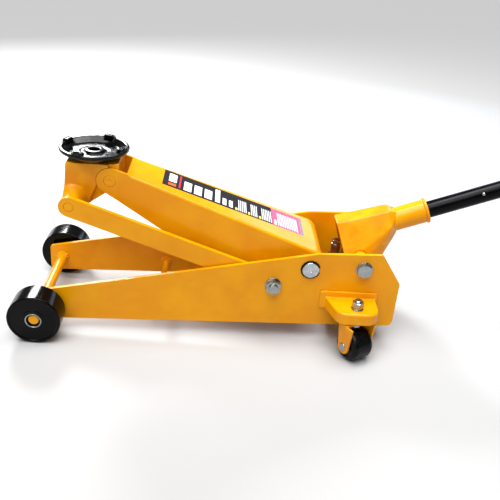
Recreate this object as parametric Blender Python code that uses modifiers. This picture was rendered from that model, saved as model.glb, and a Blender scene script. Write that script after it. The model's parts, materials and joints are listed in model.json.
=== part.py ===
"""Hydraulic trolley jack for a workshop floor.

Two side plates carry a parallelogram lift: a lift arm on the lift shaft, a pair of link
bars below it, and a saddle head that both hold level.  A ram at the back pushes a crank
on the arm, and a handle socket works the pump plunger.  The jack stands on two fixed
front wheels and two swivelling casters.

Units are metres, +Z is up, and X runs from the front wheels to the handle.  The design
is laid out with X = 0 at the front axle and Y = 0 at the middle plane, on a floor at
Z = 0.  One parent empty then moves it so that the origin is the middle of its footprint.
"""

import math

import bmesh
import bpy
from mathutils import Matrix, Vector

SIDES = {"left": -1.0, "right": 1.0}
GAP = 0.0003                 # between pieces that touch
RUN = 0.0004                 # radial clearance of what turns
OVERSHOOT = 0.002            # how far a cutter runs past what it cuts
ROUND = 24                   # steps round a large turned piece
SMALL = 16                   # steps round a pin or a screw
WHEEL_STEPS = 40             # steps round a front wheel or the saddle

# Frame: two flat side plates
PLATE_THICKNESS = 0.006
PLATE_OUTER = 0.0899         # middle plane to a plate's outer face
PLATE_NOSE_REACH = 0.0232    # axle to the plate's front edge, and to its top corner
PLATE_NOSE_DROP = 0.0274     # axle to the plate's bottom front corner
PLATE_KNEE = (0.4704, 0.1726)
PLATE_SHOULDER = (0.5800, 0.1774)
PLATE_TAIL = (0.6169, 0.1235)
PLATE_TAIL_BOTTOM = 0.0380
PLATE_CORNER = 0.005
PLATE_TAIL_CORNER = 0.010
PLATE_INNER = PLATE_OUTER - PLATE_THICKNESS

# Pivots in the middle plane (x, z)
LIFT_PIVOT = (0.4590, 0.1430)
LINK_PIVOT = (0.3980, 0.1085)
HEAD_PIVOT = (0.1140, 0.2620)
SOCKET_PIVOT = (0.5509, 0.1486)
HEAD_LINK_PIVOT = (
    HEAD_PIVOT[0] + LINK_PIVOT[0] - LIFT_PIVOT[0],
    HEAD_PIVOT[1] + LINK_PIVOT[1] - LIFT_PIVOT[1],
)

# Front wheels, axle and tie rod
WHEEL_RADIUS = 0.0445
WHEEL_WIDTH = 0.0439
WHEEL_EDGE = 0.0025
WHEEL_STANDOFF = 0.0092      # plate to the wheel's inner face
AXLE_RADIUS = 0.00875
AXLE_RECESS = 0.003          # axle end behind the wheel's outer face
BUSH_WALL = 0.0045
BUSH_LIP = 0.002
BUSH_MOUTH = 0.008
COLLAR_RADIUS = 0.0125
CLIP_THICKNESS = 0.0014
CLIP_DEPTH = 0.0008
TIE_ROD_AT = (0.2010, 0.0460)
TIE_ROD_RADIUS = 0.0055
TIE_ROD_COLLAR = 0.008
TIE_ROD_COLLAR_LENGTH = 0.007
WHEEL_INNER = PLATE_OUTER + WHEEL_STANDOFF
WHEEL_OUTER = WHEEL_INNER + WHEEL_WIDTH
BUSH_RADIUS = AXLE_RADIUS + RUN + BUSH_WALL
AXLE_AT = (0.0, WHEEL_RADIUS)

# Lift shaft, link bolts and socket bolts
SHAFT_RADIUS = 0.0142
SHAFT_PROUD = 0.0042
SHAFT_CLIP_WALL = 0.0030
BOLT_RADIUS = 0.008
BOLT_HEAD_FLATS = 0.024
BOLT_HEAD_HEIGHT = 0.0085
BOLT_FLANGE_RADIUS = 0.0145
BOLT_FLANGE_HEIGHT = 0.0015
NUT_HEIGHT = 0.0115
LINK_BOLT_PROUD = 0.004
LINK_BOLT_HEAD_RADIUS = 0.012
LINK_BOLT_HEAD_HEIGHT = 0.0028
SOCKET_BOLT_REACH = 0.026    # shank inside the plate

# Casters
CASTER_PIN_X = 0.5410
CASTER_STANDOFF = 0.0371     # plate to the kingpin's axis
CASTER_REST_TURN = math.radians(29.0)
CASTER_TRAIL = 0.008
CASTER_WHEEL_RADIUS = 0.0275
CASTER_WHEEL_WIDTH = 0.042
CASTER_WHEEL_EDGE = 0.009
CASTER_SIDE_GAP = 0.0015
FORK_WALL = 0.004
FORK_LEG_RADIUS = 0.013
FORK_TOP_WIDTH = 0.036
FORK_TOP_BACK = 0.025        # kingpin to the rear edge of the legs under the crown
FORK_CROWN_CLEARANCE = 0.015 # top of the tread to the top of the crown
FORK_CROWN_RADIUS = 0.019
FORK_CROWN_FRONT = 0.011     # kingpin to the crown's front edge
CASTER_AXLE_RADIUS = 0.0045
CASTER_RIVET_RADIUS = 0.0075
CASTER_RIVET_HEIGHT = 0.0022
SWIVEL_HEIGHT = 0.019        # crown to the underside of the bracket's top
BRACKET_WALL = 0.004
BRACKET_SKIRT_GAP = 0.002    # crown to the bottom of the skirt
BRACKET_FLANGE_GAP = 0.0005  # crown to the bottom of the flange
BRACKET_FLANGE_HEIGHT = 0.0335
BRACKET_DEPTH = 0.0576       # plate to the skirt's front
BRACKET_LEFT = 0.0330        # kingpin to the skirt's left, right and flange ends
BRACKET_RIGHT = 0.0370
BRACKET_SPLAY = 0.0180       # how far the skirt's left side runs out towards the plate
BRACKET_FLANGE_LEFT = 0.0600
BRACKET_FLANGE_RIGHT = 0.0405
BRACKET_CORNER = 0.022
KINGPIN_RADIUS = 0.006
KINGPIN_HEAD_RADIUS = 0.011
KINGPIN_HEAD_HEIGHT = 0.004
KINGPIN_PROUD = 0.0035
KING_NUT_FLATS = 0.018
KING_NUT_HEIGHT = 0.0105
KING_WASHER_RADIUS = 0.0105
KING_WASHER_HEIGHT = 0.003
SWIVEL_RADIUS = 0.0155

# Lift arm: a folded channel, laid out along the line from the head pivot to the shaft
ARM_WALL = 0.005
ARM_END_WALL = 0.0118        # metal round the head pin
ARM_TAIL_RADIUS = 0.0250
ARM_WEB_START = 0.0223       # top plate's front edge behind the head pivot
ARM_WRAP = 25.0              # degrees that the top plate wraps on below the shaft
ARM_BELLY = (0.2050, -0.0690)
ARM_HOCK = (0.3150, -0.0430)
ARM_SIDE_CLEARANCE = 0.0052
HEAD_PIN_RADIUS = 0.010
CRANK_RADIUS = 0.050
CRANK_LAG = math.radians(6.5)
CRANK_HALF_WIDTH = 0.020
CRANK_HUB_WALL = 0.0042
CRANK_SLOT_WALL = 0.0018     # pivot tube to the top of the crank's slot
CRANK_LOBE_RADIUS = 0.0125
CRANK_PIN_RADIUS = 0.007

# Link bars
LINK_THICKNESS = 0.008
LINK_WIDTH = 0.034
LINK_PLATE_GAP = 0.002
LINK_PIN_RADIUS = 0.008
LINK_OUTER = PLATE_INNER - LINK_PLATE_GAP
LINK_INNER = LINK_OUTER - LINK_THICKNESS

# Saddle head: a cast box, open below
HEAD_HALF_WIDTH = 0.038
HEAD_WALL = 0.007
HEAD_TOP = 0.2900
HEAD_NOSE = 0.0425
HEAD_BACK = 0.1280
HEAD_LINK_BOSS = 0.0145
HEAD_RECESS = 0.0004         # radial clearance round the arm's nose
HEAD_FLARE = 0.0140          # how much wider the link boss is where it leaves the side
HEAD_FLARE_STEPS = 5
HEAD_PIN_BOSS = 0.0150
HEAD_TOE = (-0.0370, -0.0450)   # lower rear corner from the head pivot

# Saddle
SADDLE_AT = 0.0828
SADDLE_RADIUS = 0.0585
SADDLE_FOOT_RADIUS = 0.043
SADDLE_RIM_TOP = 0.3068
SADDLE_SEAT = 0.2975
SADDLE_RIM_WIDTH = 0.0055
SADDLE_LUG_HEIGHT = 0.0055
SADDLE_LUG_LENGTH = 0.011
SADDLE_LUG_WIDTH = 0.020
SADDLE_LUG_TURN = math.radians(-20.0)
SADDLE_LUGS = 4
SADDLE_BOSS_RADIUS = 0.016
SADDLE_BOSS_TOP = 0.3005
SADDLE_STEM_RADIUS = 0.0145
SADDLE_STEM_LENGTH = 0.016
SADDLE_BORE_RADIUS = 0.009

# Power unit
RAM_AXIS_Z = 0.0970
RAM_RADIUS = 0.015
RAM_TAIL = 0.5490
RAM_HEAD_HALF_WIDTH = 0.010
RAM_HEAD_WALL = 0.006
RAM_SLOT_PLAY = 0.0013       # sideways room for the crank pin in its slot
RAM_TAPER = 0.018            # length of the cone behind the ram's flat head
CYLINDER_FRONT = 0.5040
CYLINDER_REAR = 0.5330
CYLINDER_WALL = 0.0176
BLOCK_REAR = 0.6040
BLOCK_HALF_WIDTH = 0.034
BLOCK_BOTTOM = 0.0500
BLOCK_TOP = 0.1260
BLOCK_STEP = 0.1040
BLOCK_STEP_AT = 0.5660
BLOCK_BORE_END = 0.5720
BASE_PLATE_THICKNESS = 0.0055
BASE_PLATE_FRONT = 0.5050
FILLER_AT = 0.5140
FILLER_BOSS_RADIUS = 0.0085
FILLER_BOSS_TOP = 0.1500
FILLER_RADIUS = 0.005
FILLER_FLATS = 0.013
FILLER_HEAD_HEIGHT = 0.009
FILLER_DEPTH = 0.010
PLUNGER_RADIUS = 0.008
PLUNGER_HEAD_RADIUS = 0.0125
PLUNGER_HEAD_HEIGHT = 0.004
PLUNGER_BOTTOM = 0.0620
SPRING_WIRE = 0.0012
SPRING_RADIUS = 0.0105
SPRING_TURNS = 4
VALVE_AT = 0.0700
VALVE_RADIUS = 0.006
VALVE_FLATS = 0.014
VALVE_HEAD = 0.008
VALVE_DEPTH = 0.028

# Handle socket and handle, along the handle's axis
HANDLE_RISE = math.radians(21.66)
HANDLE_OFFSET = 0.0308       # handle axis above the socket pivot
HANDLE_RADIUS = 0.015
HANDLE_WALL = 0.002
SOCKET_WALL = 0.0055
SOCKET_MOUTH = 0.1373        # socket pivot to the mouth, along the handle's axis
SOCKET_DEPTH = 0.080         # length of the socket's tube
SOCKET_LIP = 0.0018
SOCKET_LIP_LENGTH = 0.004
YOKE_WALL = 0.0045
YOKE_TUBE_RADIUS = 0.0125
YOKE_FLANK = 2.6             # half-width low on the yoke, as a multiple of the tube's radius
YOKE_SHOULDER = 1.55         # the same high at the back
YOKE_CORNER = (-0.0450, 0.0510)   # front top corner from the pivot (x, z)
CAM_REACH = 0.034
CAM_ANGLE = math.radians(-15.0)
CAM_RADIUS = 0.008
CAM_HALF_WIDTH = 0.021
HANDLE_FROM_MOUTH = 0.055    # handle tube inside the socket
LOWER_TUBE_LENGTH = 0.560
UPPER_TUBE_LENGTH = 0.500
SPIGOT_LENGTH = 0.060
STUB_LENGTH = 0.170
BUTTON_FROM_MOUTH = 0.0985
BUTTON_RADIUS = 0.0030
BUTTON_PROUD = 0.0020
BUTTON_LENGTH = 0.008
BUTTON_TILT = math.radians(27.0)
GRIP_LENGTH = 0.130
GRIP_WALL = 0.0035
GRIP_END = 0.004

# Places that follow from the sizes above
ARM_END_RADIUS = HEAD_PIN_RADIUS + GAP + ARM_END_WALL
ARM_BORE_RADIUS = ARM_TAIL_RADIUS - ARM_WALL
CYLINDER_RADIUS = RAM_RADIUS + RUN + CYLINDER_WALL
CASTER_PIN_AT = (CASTER_PIN_X, PLATE_OUTER + CASTER_STANDOFF)
FORK_CROWN_TOP = 2 * CASTER_WHEEL_RADIUS + FORK_CROWN_CLEARANCE
BRACKET_TOP = FORK_CROWN_TOP + SWIVEL_HEIGHT + BRACKET_WALL
ARM_SPAN = math.dist(LIFT_PIVOT, HEAD_PIVOT)
ARM_ANGLE = math.atan2(HEAD_PIVOT[1] - LIFT_PIVOT[1], LIFT_PIVOT[0] - HEAD_PIVOT[0])
ARM_FRONT_HALF = HEAD_HALF_WIDTH + RUN + ARM_WALL
ARM_REAR_HALF = LINK_INNER - ARM_SIDE_CLEARANCE
ARM_TUBE_RADIUS = ARM_BORE_RADIUS - RUN
CRANK_PIN_AT = (
    LIFT_PIVOT[0] + CRANK_RADIUS * math.sin(CRANK_LAG),
    LIFT_PIVOT[1] - CRANK_RADIUS * math.cos(CRANK_LAG),
)
FORK_INNER = CASTER_WHEEL_WIDTH / 2 + CASTER_SIDE_GAP
FORK_OUTER = FORK_INNER + FORK_WALL
HANDLE_END = (
    SOCKET_MOUTH - HANDLE_FROM_MOUTH + LOWER_TUBE_LENGTH + GAP + UPPER_TUBE_LENGTH + GRIP_END
)
CAM_AT = (
    SOCKET_PIVOT[0] + CAM_REACH * math.cos(CAM_ANGLE),
    SOCKET_PIVOT[1] + CAM_REACH * math.sin(CAM_ANGLE),
)
PLUNGER_TOP = CAM_AT[1] - CAM_RADIUS - GAP


# --- Scene and object helpers ---------------------------------------------------------

def clear_scene():
    """Remove every object that the file opens with."""
    for item in list(bpy.data.objects):
        bpy.data.objects.remove(item, do_unlink=True)


def new_collection(name):
    """Add a collection to the scene and return it."""
    collection = bpy.data.collections.new(name)
    bpy.context.scene.collection.children.link(collection)
    return collection


def new_material(name, colour, roughness, metallic=0.0):
    """A Principled material from a linear colour."""
    material = bpy.data.materials.new(name)
    material.use_nodes = True
    shader = material.node_tree.nodes["Principled BSDF"]
    shader.inputs["Base Color"].default_value = (*colour, 1.0)
    shader.inputs["Roughness"].default_value = roughness
    shader.inputs["Metallic"].default_value = metallic
    return material


def facing(direction):
    """Rotation that turns local +Z to a direction."""
    return Vector((0.0, 0.0, 1.0)).rotation_difference(Vector(direction)).to_matrix().to_4x4()


def side_view(y=0.0):
    """Frame whose local X, Y are the world's X, Z, at a distance y from the middle."""
    return Matrix.Translation((0.0, y, 0.0)) @ Matrix.Rotation(math.pi / 2, 4, "X")


def handle_frame(along=0.0):
    """Frame whose local +Z runs up the handle, at a distance along it from the socket pivot."""
    run = Vector((math.cos(HANDLE_RISE), 0.0, math.sin(HANDLE_RISE)))
    rise = Vector((-math.sin(HANDLE_RISE), 0.0, math.cos(HANDLE_RISE)))
    start = Vector((SOCKET_PIVOT[0], 0.0, SOCKET_PIVOT[1])) + rise * HANDLE_OFFSET + run * along
    return Matrix.Translation(start) @ facing(run)


def arm_frame():
    """Frame along the arm: X from the head pivot to the lift pivot, Y up from that line."""
    place = Matrix.Translation((HEAD_PIVOT[0], 0.0, HEAD_PIVOT[1]))
    return place @ Matrix.Rotation(ARM_ANGLE, 4, "Y") @ Matrix.Rotation(math.pi / 2, 4, "X")


# --- Outlines ------------------------------------------------------------------------

def arc(centre, radius, start, end, steps=8):
    """Points along an arc, both ends included; angles in degrees."""
    return [
        (
            centre[0] + radius * math.cos(math.radians(start + (end - start) * i / steps)),
            centre[1] + radius * math.sin(math.radians(start + (end - start) * i / steps)),
        )
        for i in range(steps + 1)
    ]


def circle(centre, radius, steps=SMALL):
    """Points round a circle."""
    return arc(centre, radius, 0.0, 360.0, steps)[:-1]


def rounded(corners, steps=4):
    """Outline through corners (x, y, radius), each with its own fillet."""
    points = []
    count = len(corners)
    for index, (x, y, radius) in enumerate(corners):
        corner = Vector((x, y))
        before = (Vector(corners[index - 1][:2]) - corner).normalized()
        after = (Vector(corners[(index + 1) % count][:2]) - corner).normalized()
        if radius <= 0.0:
            points.append((x, y))
            continue
        half = before.angle(after) / 2
        middle = corner + (before + after).normalized() * radius / math.sin(half)
        start = corner + before * radius / math.tan(half) - middle
        end = corner + after * radius / math.tan(half) - middle
        turn = start.angle_signed(end)
        for step in range(steps + 1):
            spoke = start.copy()
            spoke.rotate(Matrix.Rotation(-turn * step / steps, 2))
            points.append(tuple(middle + spoke))
    return points


def tapered_bar(start, end, start_radius, end_radius, steps=12):
    """Outline of a bar with a round end about each of two points."""
    a, b = Vector(start), Vector(end)
    run = b - a
    heading = math.degrees(math.atan2(run.y, run.x))
    lean = math.degrees(math.asin((start_radius - end_radius) / run.length))
    side = 90.0 - lean
    return arc(b, end_radius, heading - side, heading + side, steps) + arc(
        a, start_radius, heading + side, heading + 360.0 - side, steps
    )


# --- Solids --------------------------------------------------------------------------

class Jack:
    """Collects the parts, their cutters and the empties of the moving bodies."""

    def __init__(self):
        self.parts = new_collection("car_jack")
        self.cutters = new_collection("cutters")
        self.origin = self.empty("jack_origin", (0.0, 0.0, 0.0), None)
        self.body = self.origin
        self.material = None

    def empty(self, name, at, parent):
        """An empty at a design position, under a parent empty."""
        item = bpy.data.objects.new(name, None)
        item.empty_display_size = 0.02
        item["design_at"] = at
        self.parts.objects.link(item)
        item.parent = parent
        above = Vector(parent["design_at"]) if parent else Vector((0.0, 0.0, 0.0))
        item.location = Vector(at) - above
        return item

    def start_body(self, name, pivot, parent=None):
        """Begin a moving body: its empty stands on the joint's axis."""
        self.body = self.empty(name, pivot, parent or self.origin)
        return self.body

    def paint(self, material):
        """Material for the parts that follow."""
        self.material = material

    def add(self, name, mesh, frame, cutter=False, smooth=False):
        """Make an object of a mesh that is placed by a frame in the design's space."""
        item = bpy.data.objects.new(name, mesh)
        if cutter:
            self.cutters.objects.link(item)
            item.hide_render = True
            item.display_type = "WIRE"
            item.parent = self.body
        else:
            self.parts.objects.link(item)
            item.parent = self.body
            mesh.materials.append(self.material)
        item.matrix_local = Matrix.Translation(-Vector(self.body["design_at"])) @ frame
        if smooth:
            mesh.shade_smooth()
            mesh.set_sharp_from_angle(angle=math.radians(35.0))
        return item

    def flat(self, name, outline, thickness, frame, holes=(), cutter=False):
        """A flat outline with holes, given its thickness about the frame's XY plane."""
        curve = bpy.data.curves.new(name, "CURVE")
        curve.dimensions = "2D"
        curve.fill_mode = "BOTH"
        curve.extrude = thickness / 2
        for points in (outline, *holes):
            spline = curve.splines.new("POLY")
            spline.points.add(len(points) - 1)
            for point, (x, y) in zip(spline.points, points):
                point.co = (x, y, 0.0, 1.0)
            spline.use_cyclic_u = True
        return self.add(name, self.mesh_of(curve), frame, cutter)

    def mesh_of(self, curve):
        """The welded mesh of a curve, which is then removed."""
        carrier = bpy.data.objects.new(curve.name, curve)
        bpy.context.scene.collection.objects.link(carrier)
        depsgraph = bpy.context.evaluated_depsgraph_get()
        mesh = bpy.data.meshes.new_from_object(carrier.evaluated_get(depsgraph))
        mesh.materials.clear()
        bpy.data.objects.remove(carrier, do_unlink=True)
        work = bmesh.new()
        work.from_mesh(mesh)
        bmesh.ops.remove_doubles(work, verts=work.verts, dist=0.00001)
        bmesh.ops.recalc_face_normals(work, faces=work.faces)
        work.to_mesh(mesh)
        work.free()
        return mesh

    def turned(self, name, profile, frame, steps=SMALL, bored=False, cutter=False):
        """A profile (radius, height) that runs down its outer side, turned about +Z."""
        mesh = bpy.data.meshes.new(name)
        work = bmesh.new()
        verts = [work.verts.new((radius, 0.0, height)) for radius, height in profile]
        for first, second in zip(verts, verts[1:]):
            work.edges.new((first, second))
        if bored:
            work.edges.new((verts[-1], verts[0]))
        work.to_mesh(mesh)
        work.free()
        item = self.add(name, mesh, frame, cutter)
        screw = item.modifiers.new("turn", "SCREW")
        screw.steps = steps
        screw.render_steps = steps
        screw.use_merge_vertices = True
        screw.merge_threshold = 0.00001
        screw.use_smooth_shade = True
        return item

    def rod(self, name, radius, low, high, frame, steps=SMALL, cutter=False):
        """A plain round bar between two heights of its frame."""
        mesh = bpy.data.meshes.new(name)
        work = bmesh.new()
        bmesh.ops.create_cone(
            work, cap_ends=True, segments=steps, radius1=radius, radius2=radius,
            depth=high - low, matrix=Matrix.Translation((0.0, 0.0, (low + high) / 2)),
        )
        work.to_mesh(mesh)
        work.free()
        return self.add(name, mesh, frame, cutter, smooth=not cutter)

    def block(self, name, low, high, frame=Matrix.Identity(4), cutter=False):
        """A box between two corners of its frame."""
        mesh = bpy.data.meshes.new(name)
        work = bmesh.new()
        size = Vector(high) - Vector(low)
        middle = (Vector(high) + Vector(low)) / 2
        bmesh.ops.create_cube(
            work, size=1.0, matrix=Matrix.Translation(middle) @ Matrix.Diagonal((*size, 1.0))
        )
        work.to_mesh(mesh)
        work.free()
        return self.add(name, mesh, frame, cutter)

    def tube(self, name, inner, outer, low, high, frame, steps=SMALL):
        """A plain tube between two heights of its frame."""
        profile = [(outer, high), (outer, low), (inner, low), (inner, high)]
        return self.turned(name, profile, frame, steps, bored=True)

    def combine(self, item, tool, operation):
        """Cut, join or intersect an object with a cutter."""
        modifier = item.modifiers.new(operation.lower(), "BOOLEAN")
        modifier.operation = operation
        modifier.object = tool
        modifier.solver = "EXACT"

    def hex_bolt(self, name, flats, head, flange, shank, frame):
        """Hexagon head at heights 0 to head[1], a washer face below it, and a shank."""
        item = self.rod(name, flats / math.sqrt(3.0), head[0], head[1], frame, steps=6)
        item.data.shade_flat()
        flange_radius, flange_low = flange
        collar = self.rod(
            f"{name}_flange", flange_radius, flange_low, head[0] + 0.0004, frame, cutter=True
        )
        self.combine(item, collar, "UNION")
        if shank:
            radius, low, high = shank
            stem = self.rod(f"{name}_shank", radius, low, high, frame, cutter=True)
            self.combine(item, stem, "UNION")
        return item

    def hex_nut(self, name, flats, height, flange, bore, frame):
        """Hexagon nut from height 0 with a washer face and a bore."""
        flange_radius, flange_height = flange
        item = self.hex_bolt(name, flats, (flange_height, height), (flange_radius, 0.0), None, frame)
        hole = self.rod(f"{name}_bore", bore, -OVERSHOOT, height + OVERSHOOT, frame, cutter=True)
        self.combine(item, hole, "DIFFERENCE")
        return item

    def circlip(self, name, inner, outer, thickness, frame, opening=36.0):
        """An open ring for a groove; the opening is in degrees."""
        half = opening / 2
        steps = 14
        inner /= math.cos(math.radians(180.0 - half) / steps)
        outline = arc((0.0, 0.0), outer, half, 360.0 - half, steps)
        outline += arc((0.0, 0.0), inner, 360.0 - half, half, steps)
        return self.flat(name, outline, thickness, frame)


def across(side, at, y=0.0):
    """Frame at (x, z) whose +Z points outward on one side, at a distance y from the middle."""
    return Matrix.Translation((at[0], side * y, at[1])) @ facing((0.0, side, 0.0))


# --- Frame ---------------------------------------------------------------------------

def build_side_plates(jack):
    """Two side plates with the holes for the axle, the shaft and the bolts."""
    outline = rounded([
        (-PLATE_NOSE_REACH, WHEEL_RADIUS + PLATE_NOSE_REACH, PLATE_CORNER),
        (-PLATE_NOSE_REACH, WHEEL_RADIUS - PLATE_NOSE_DROP, PLATE_CORNER),
        (PLATE_TAIL[0], PLATE_TAIL_BOTTOM, PLATE_TAIL_CORNER),
        (*PLATE_TAIL, PLATE_CORNER),
        (*PLATE_SHOULDER, PLATE_CORNER),
        (*PLATE_KNEE, PLATE_TAIL_CORNER),
    ])
    holes = [
        circle(AXLE_AT, AXLE_RADIUS + GAP),
        circle(LINK_PIVOT, BOLT_RADIUS + GAP),
        circle(LIFT_PIVOT, SHAFT_RADIUS + GAP, ROUND),
        circle(SOCKET_PIVOT, BOLT_RADIUS + GAP),
    ]
    middle = PLATE_OUTER - PLATE_THICKNESS / 2
    for name, side in SIDES.items():
        jack.flat(f"side_plate_{name}", outline, PLATE_THICKNESS, side_view(side * middle), holes)


def build_front_axle(jack):
    """Axle with a welded collar outside each plate and a groove at each end."""
    end = WHEEL_OUTER - AXLE_RECESS
    clip = WHEEL_OUTER - BUSH_MOUTH + GAP
    groove = AXLE_RADIUS - CLIP_DEPTH - GAP
    half = [
        (0.0, end),
        (AXLE_RADIUS - WHEEL_EDGE / 4, end),
        (AXLE_RADIUS, end - WHEEL_EDGE / 4),
        (AXLE_RADIUS, clip + CLIP_THICKNESS + 2 * GAP),
        (groove, clip + CLIP_THICKNESS + 2 * GAP),
        (groove, clip),
        (AXLE_RADIUS, clip),
        (AXLE_RADIUS, WHEEL_INNER - RUN),
        (COLLAR_RADIUS, WHEEL_INNER - RUN),
        (COLLAR_RADIUS, PLATE_OUTER + GAP),
        (AXLE_RADIUS, PLATE_OUTER + GAP),
    ]
    profile = half + [(radius, -height) for radius, height in reversed(half)]
    jack.turned("front_axle", profile, across(1.0, AXLE_AT))
    for name, side in SIDES.items():
        jack.circlip(
            f"axle_circlip_{name}", groove + GAP, BUSH_RADIUS - BUSH_LIP - 2 * GAP, CLIP_THICKNESS,
            across(side, AXLE_AT, clip + GAP + CLIP_THICKNESS / 2),
        )


def build_tie_rod(jack):
    """Rod between the plates, with a thicker collar welded to each."""
    end = PLATE_INNER - GAP
    half = [
        (0.0, end),
        (TIE_ROD_COLLAR, end),
        (TIE_ROD_COLLAR, end - TIE_ROD_COLLAR_LENGTH),
        (TIE_ROD_RADIUS, end - TIE_ROD_COLLAR_LENGTH),
    ]
    profile = half + [(radius, -height) for radius, height in reversed(half)]
    jack.turned("tie_rod", profile, across(1.0, TIE_ROD_AT))


def build_lift_shaft(jack):
    """Shaft through both plates, held by a circlip outside each."""
    end = PLATE_OUTER + SHAFT_PROUD
    groove = SHAFT_RADIUS - CLIP_DEPTH - GAP
    half = [
        (0.0, end),
        (SHAFT_RADIUS - CLIP_DEPTH, end),
        (SHAFT_RADIUS, end - CLIP_DEPTH),
        (SHAFT_RADIUS, PLATE_OUTER + CLIP_THICKNESS + 3 * GAP),
        (groove, PLATE_OUTER + CLIP_THICKNESS + 3 * GAP),
        (groove, PLATE_OUTER),
        (SHAFT_RADIUS, PLATE_OUTER),
    ]
    profile = half + [(radius, -height) for radius, height in reversed(half)]
    jack.turned("lift_shaft", profile, across(1.0, LIFT_PIVOT), steps=ROUND)
    for name, side in SIDES.items():
        frame = across(side, LIFT_PIVOT, PLATE_OUTER + GAP + CLIP_THICKNESS / 2)
        turn = Matrix.Rotation(math.pi if side > 0 else 0.0, 4, "Z")
        jack.circlip(
            f"shaft_circlip_{name}", groove + GAP, SHAFT_RADIUS + SHAFT_CLIP_WALL,
            CLIP_THICKNESS, frame @ turn,
        )


def build_link_bolts(jack):
    """Flat-headed bolts that carry the link bars, with a nut outside each plate."""
    head = LINK_INNER + GAP
    end = PLATE_OUTER + GAP + NUT_HEIGHT + LINK_BOLT_PROUD
    profile = [
        (0.0, end),
        (BOLT_RADIUS - CLIP_DEPTH, end),
        (BOLT_RADIUS, end - CLIP_DEPTH),
        (BOLT_RADIUS, head + LINK_BOLT_HEAD_HEIGHT),
        (LINK_BOLT_HEAD_RADIUS, head + LINK_BOLT_HEAD_HEIGHT),
        (LINK_BOLT_HEAD_RADIUS, head),
        (0.0, head),
    ]
    for name, side in SIDES.items():
        jack.turned(f"link_bolt_{name}", profile, across(side, LINK_PIVOT))
        jack.hex_nut(
            f"link_nut_{name}", BOLT_HEAD_FLATS, NUT_HEIGHT, (BOLT_FLANGE_RADIUS, BOLT_FLANGE_HEIGHT),
            BOLT_RADIUS + GAP, across(side, LINK_PIVOT, PLATE_OUTER + GAP),
        )


def build_socket_bolts(jack):
    """Hexagon bolts that the handle socket turns on."""
    head = (BOLT_FLANGE_HEIGHT, BOLT_HEAD_HEIGHT)
    shank = (BOLT_RADIUS, -(PLATE_THICKNESS + SOCKET_BOLT_REACH), BOLT_FLANGE_HEIGHT)
    for name, side in SIDES.items():
        jack.hex_bolt(
            f"socket_bolt_{name}", BOLT_HEAD_FLATS, head, (BOLT_FLANGE_RADIUS, 0.0), shank,
            across(side, SOCKET_PIVOT, PLATE_OUTER + GAP),
        )


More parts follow.
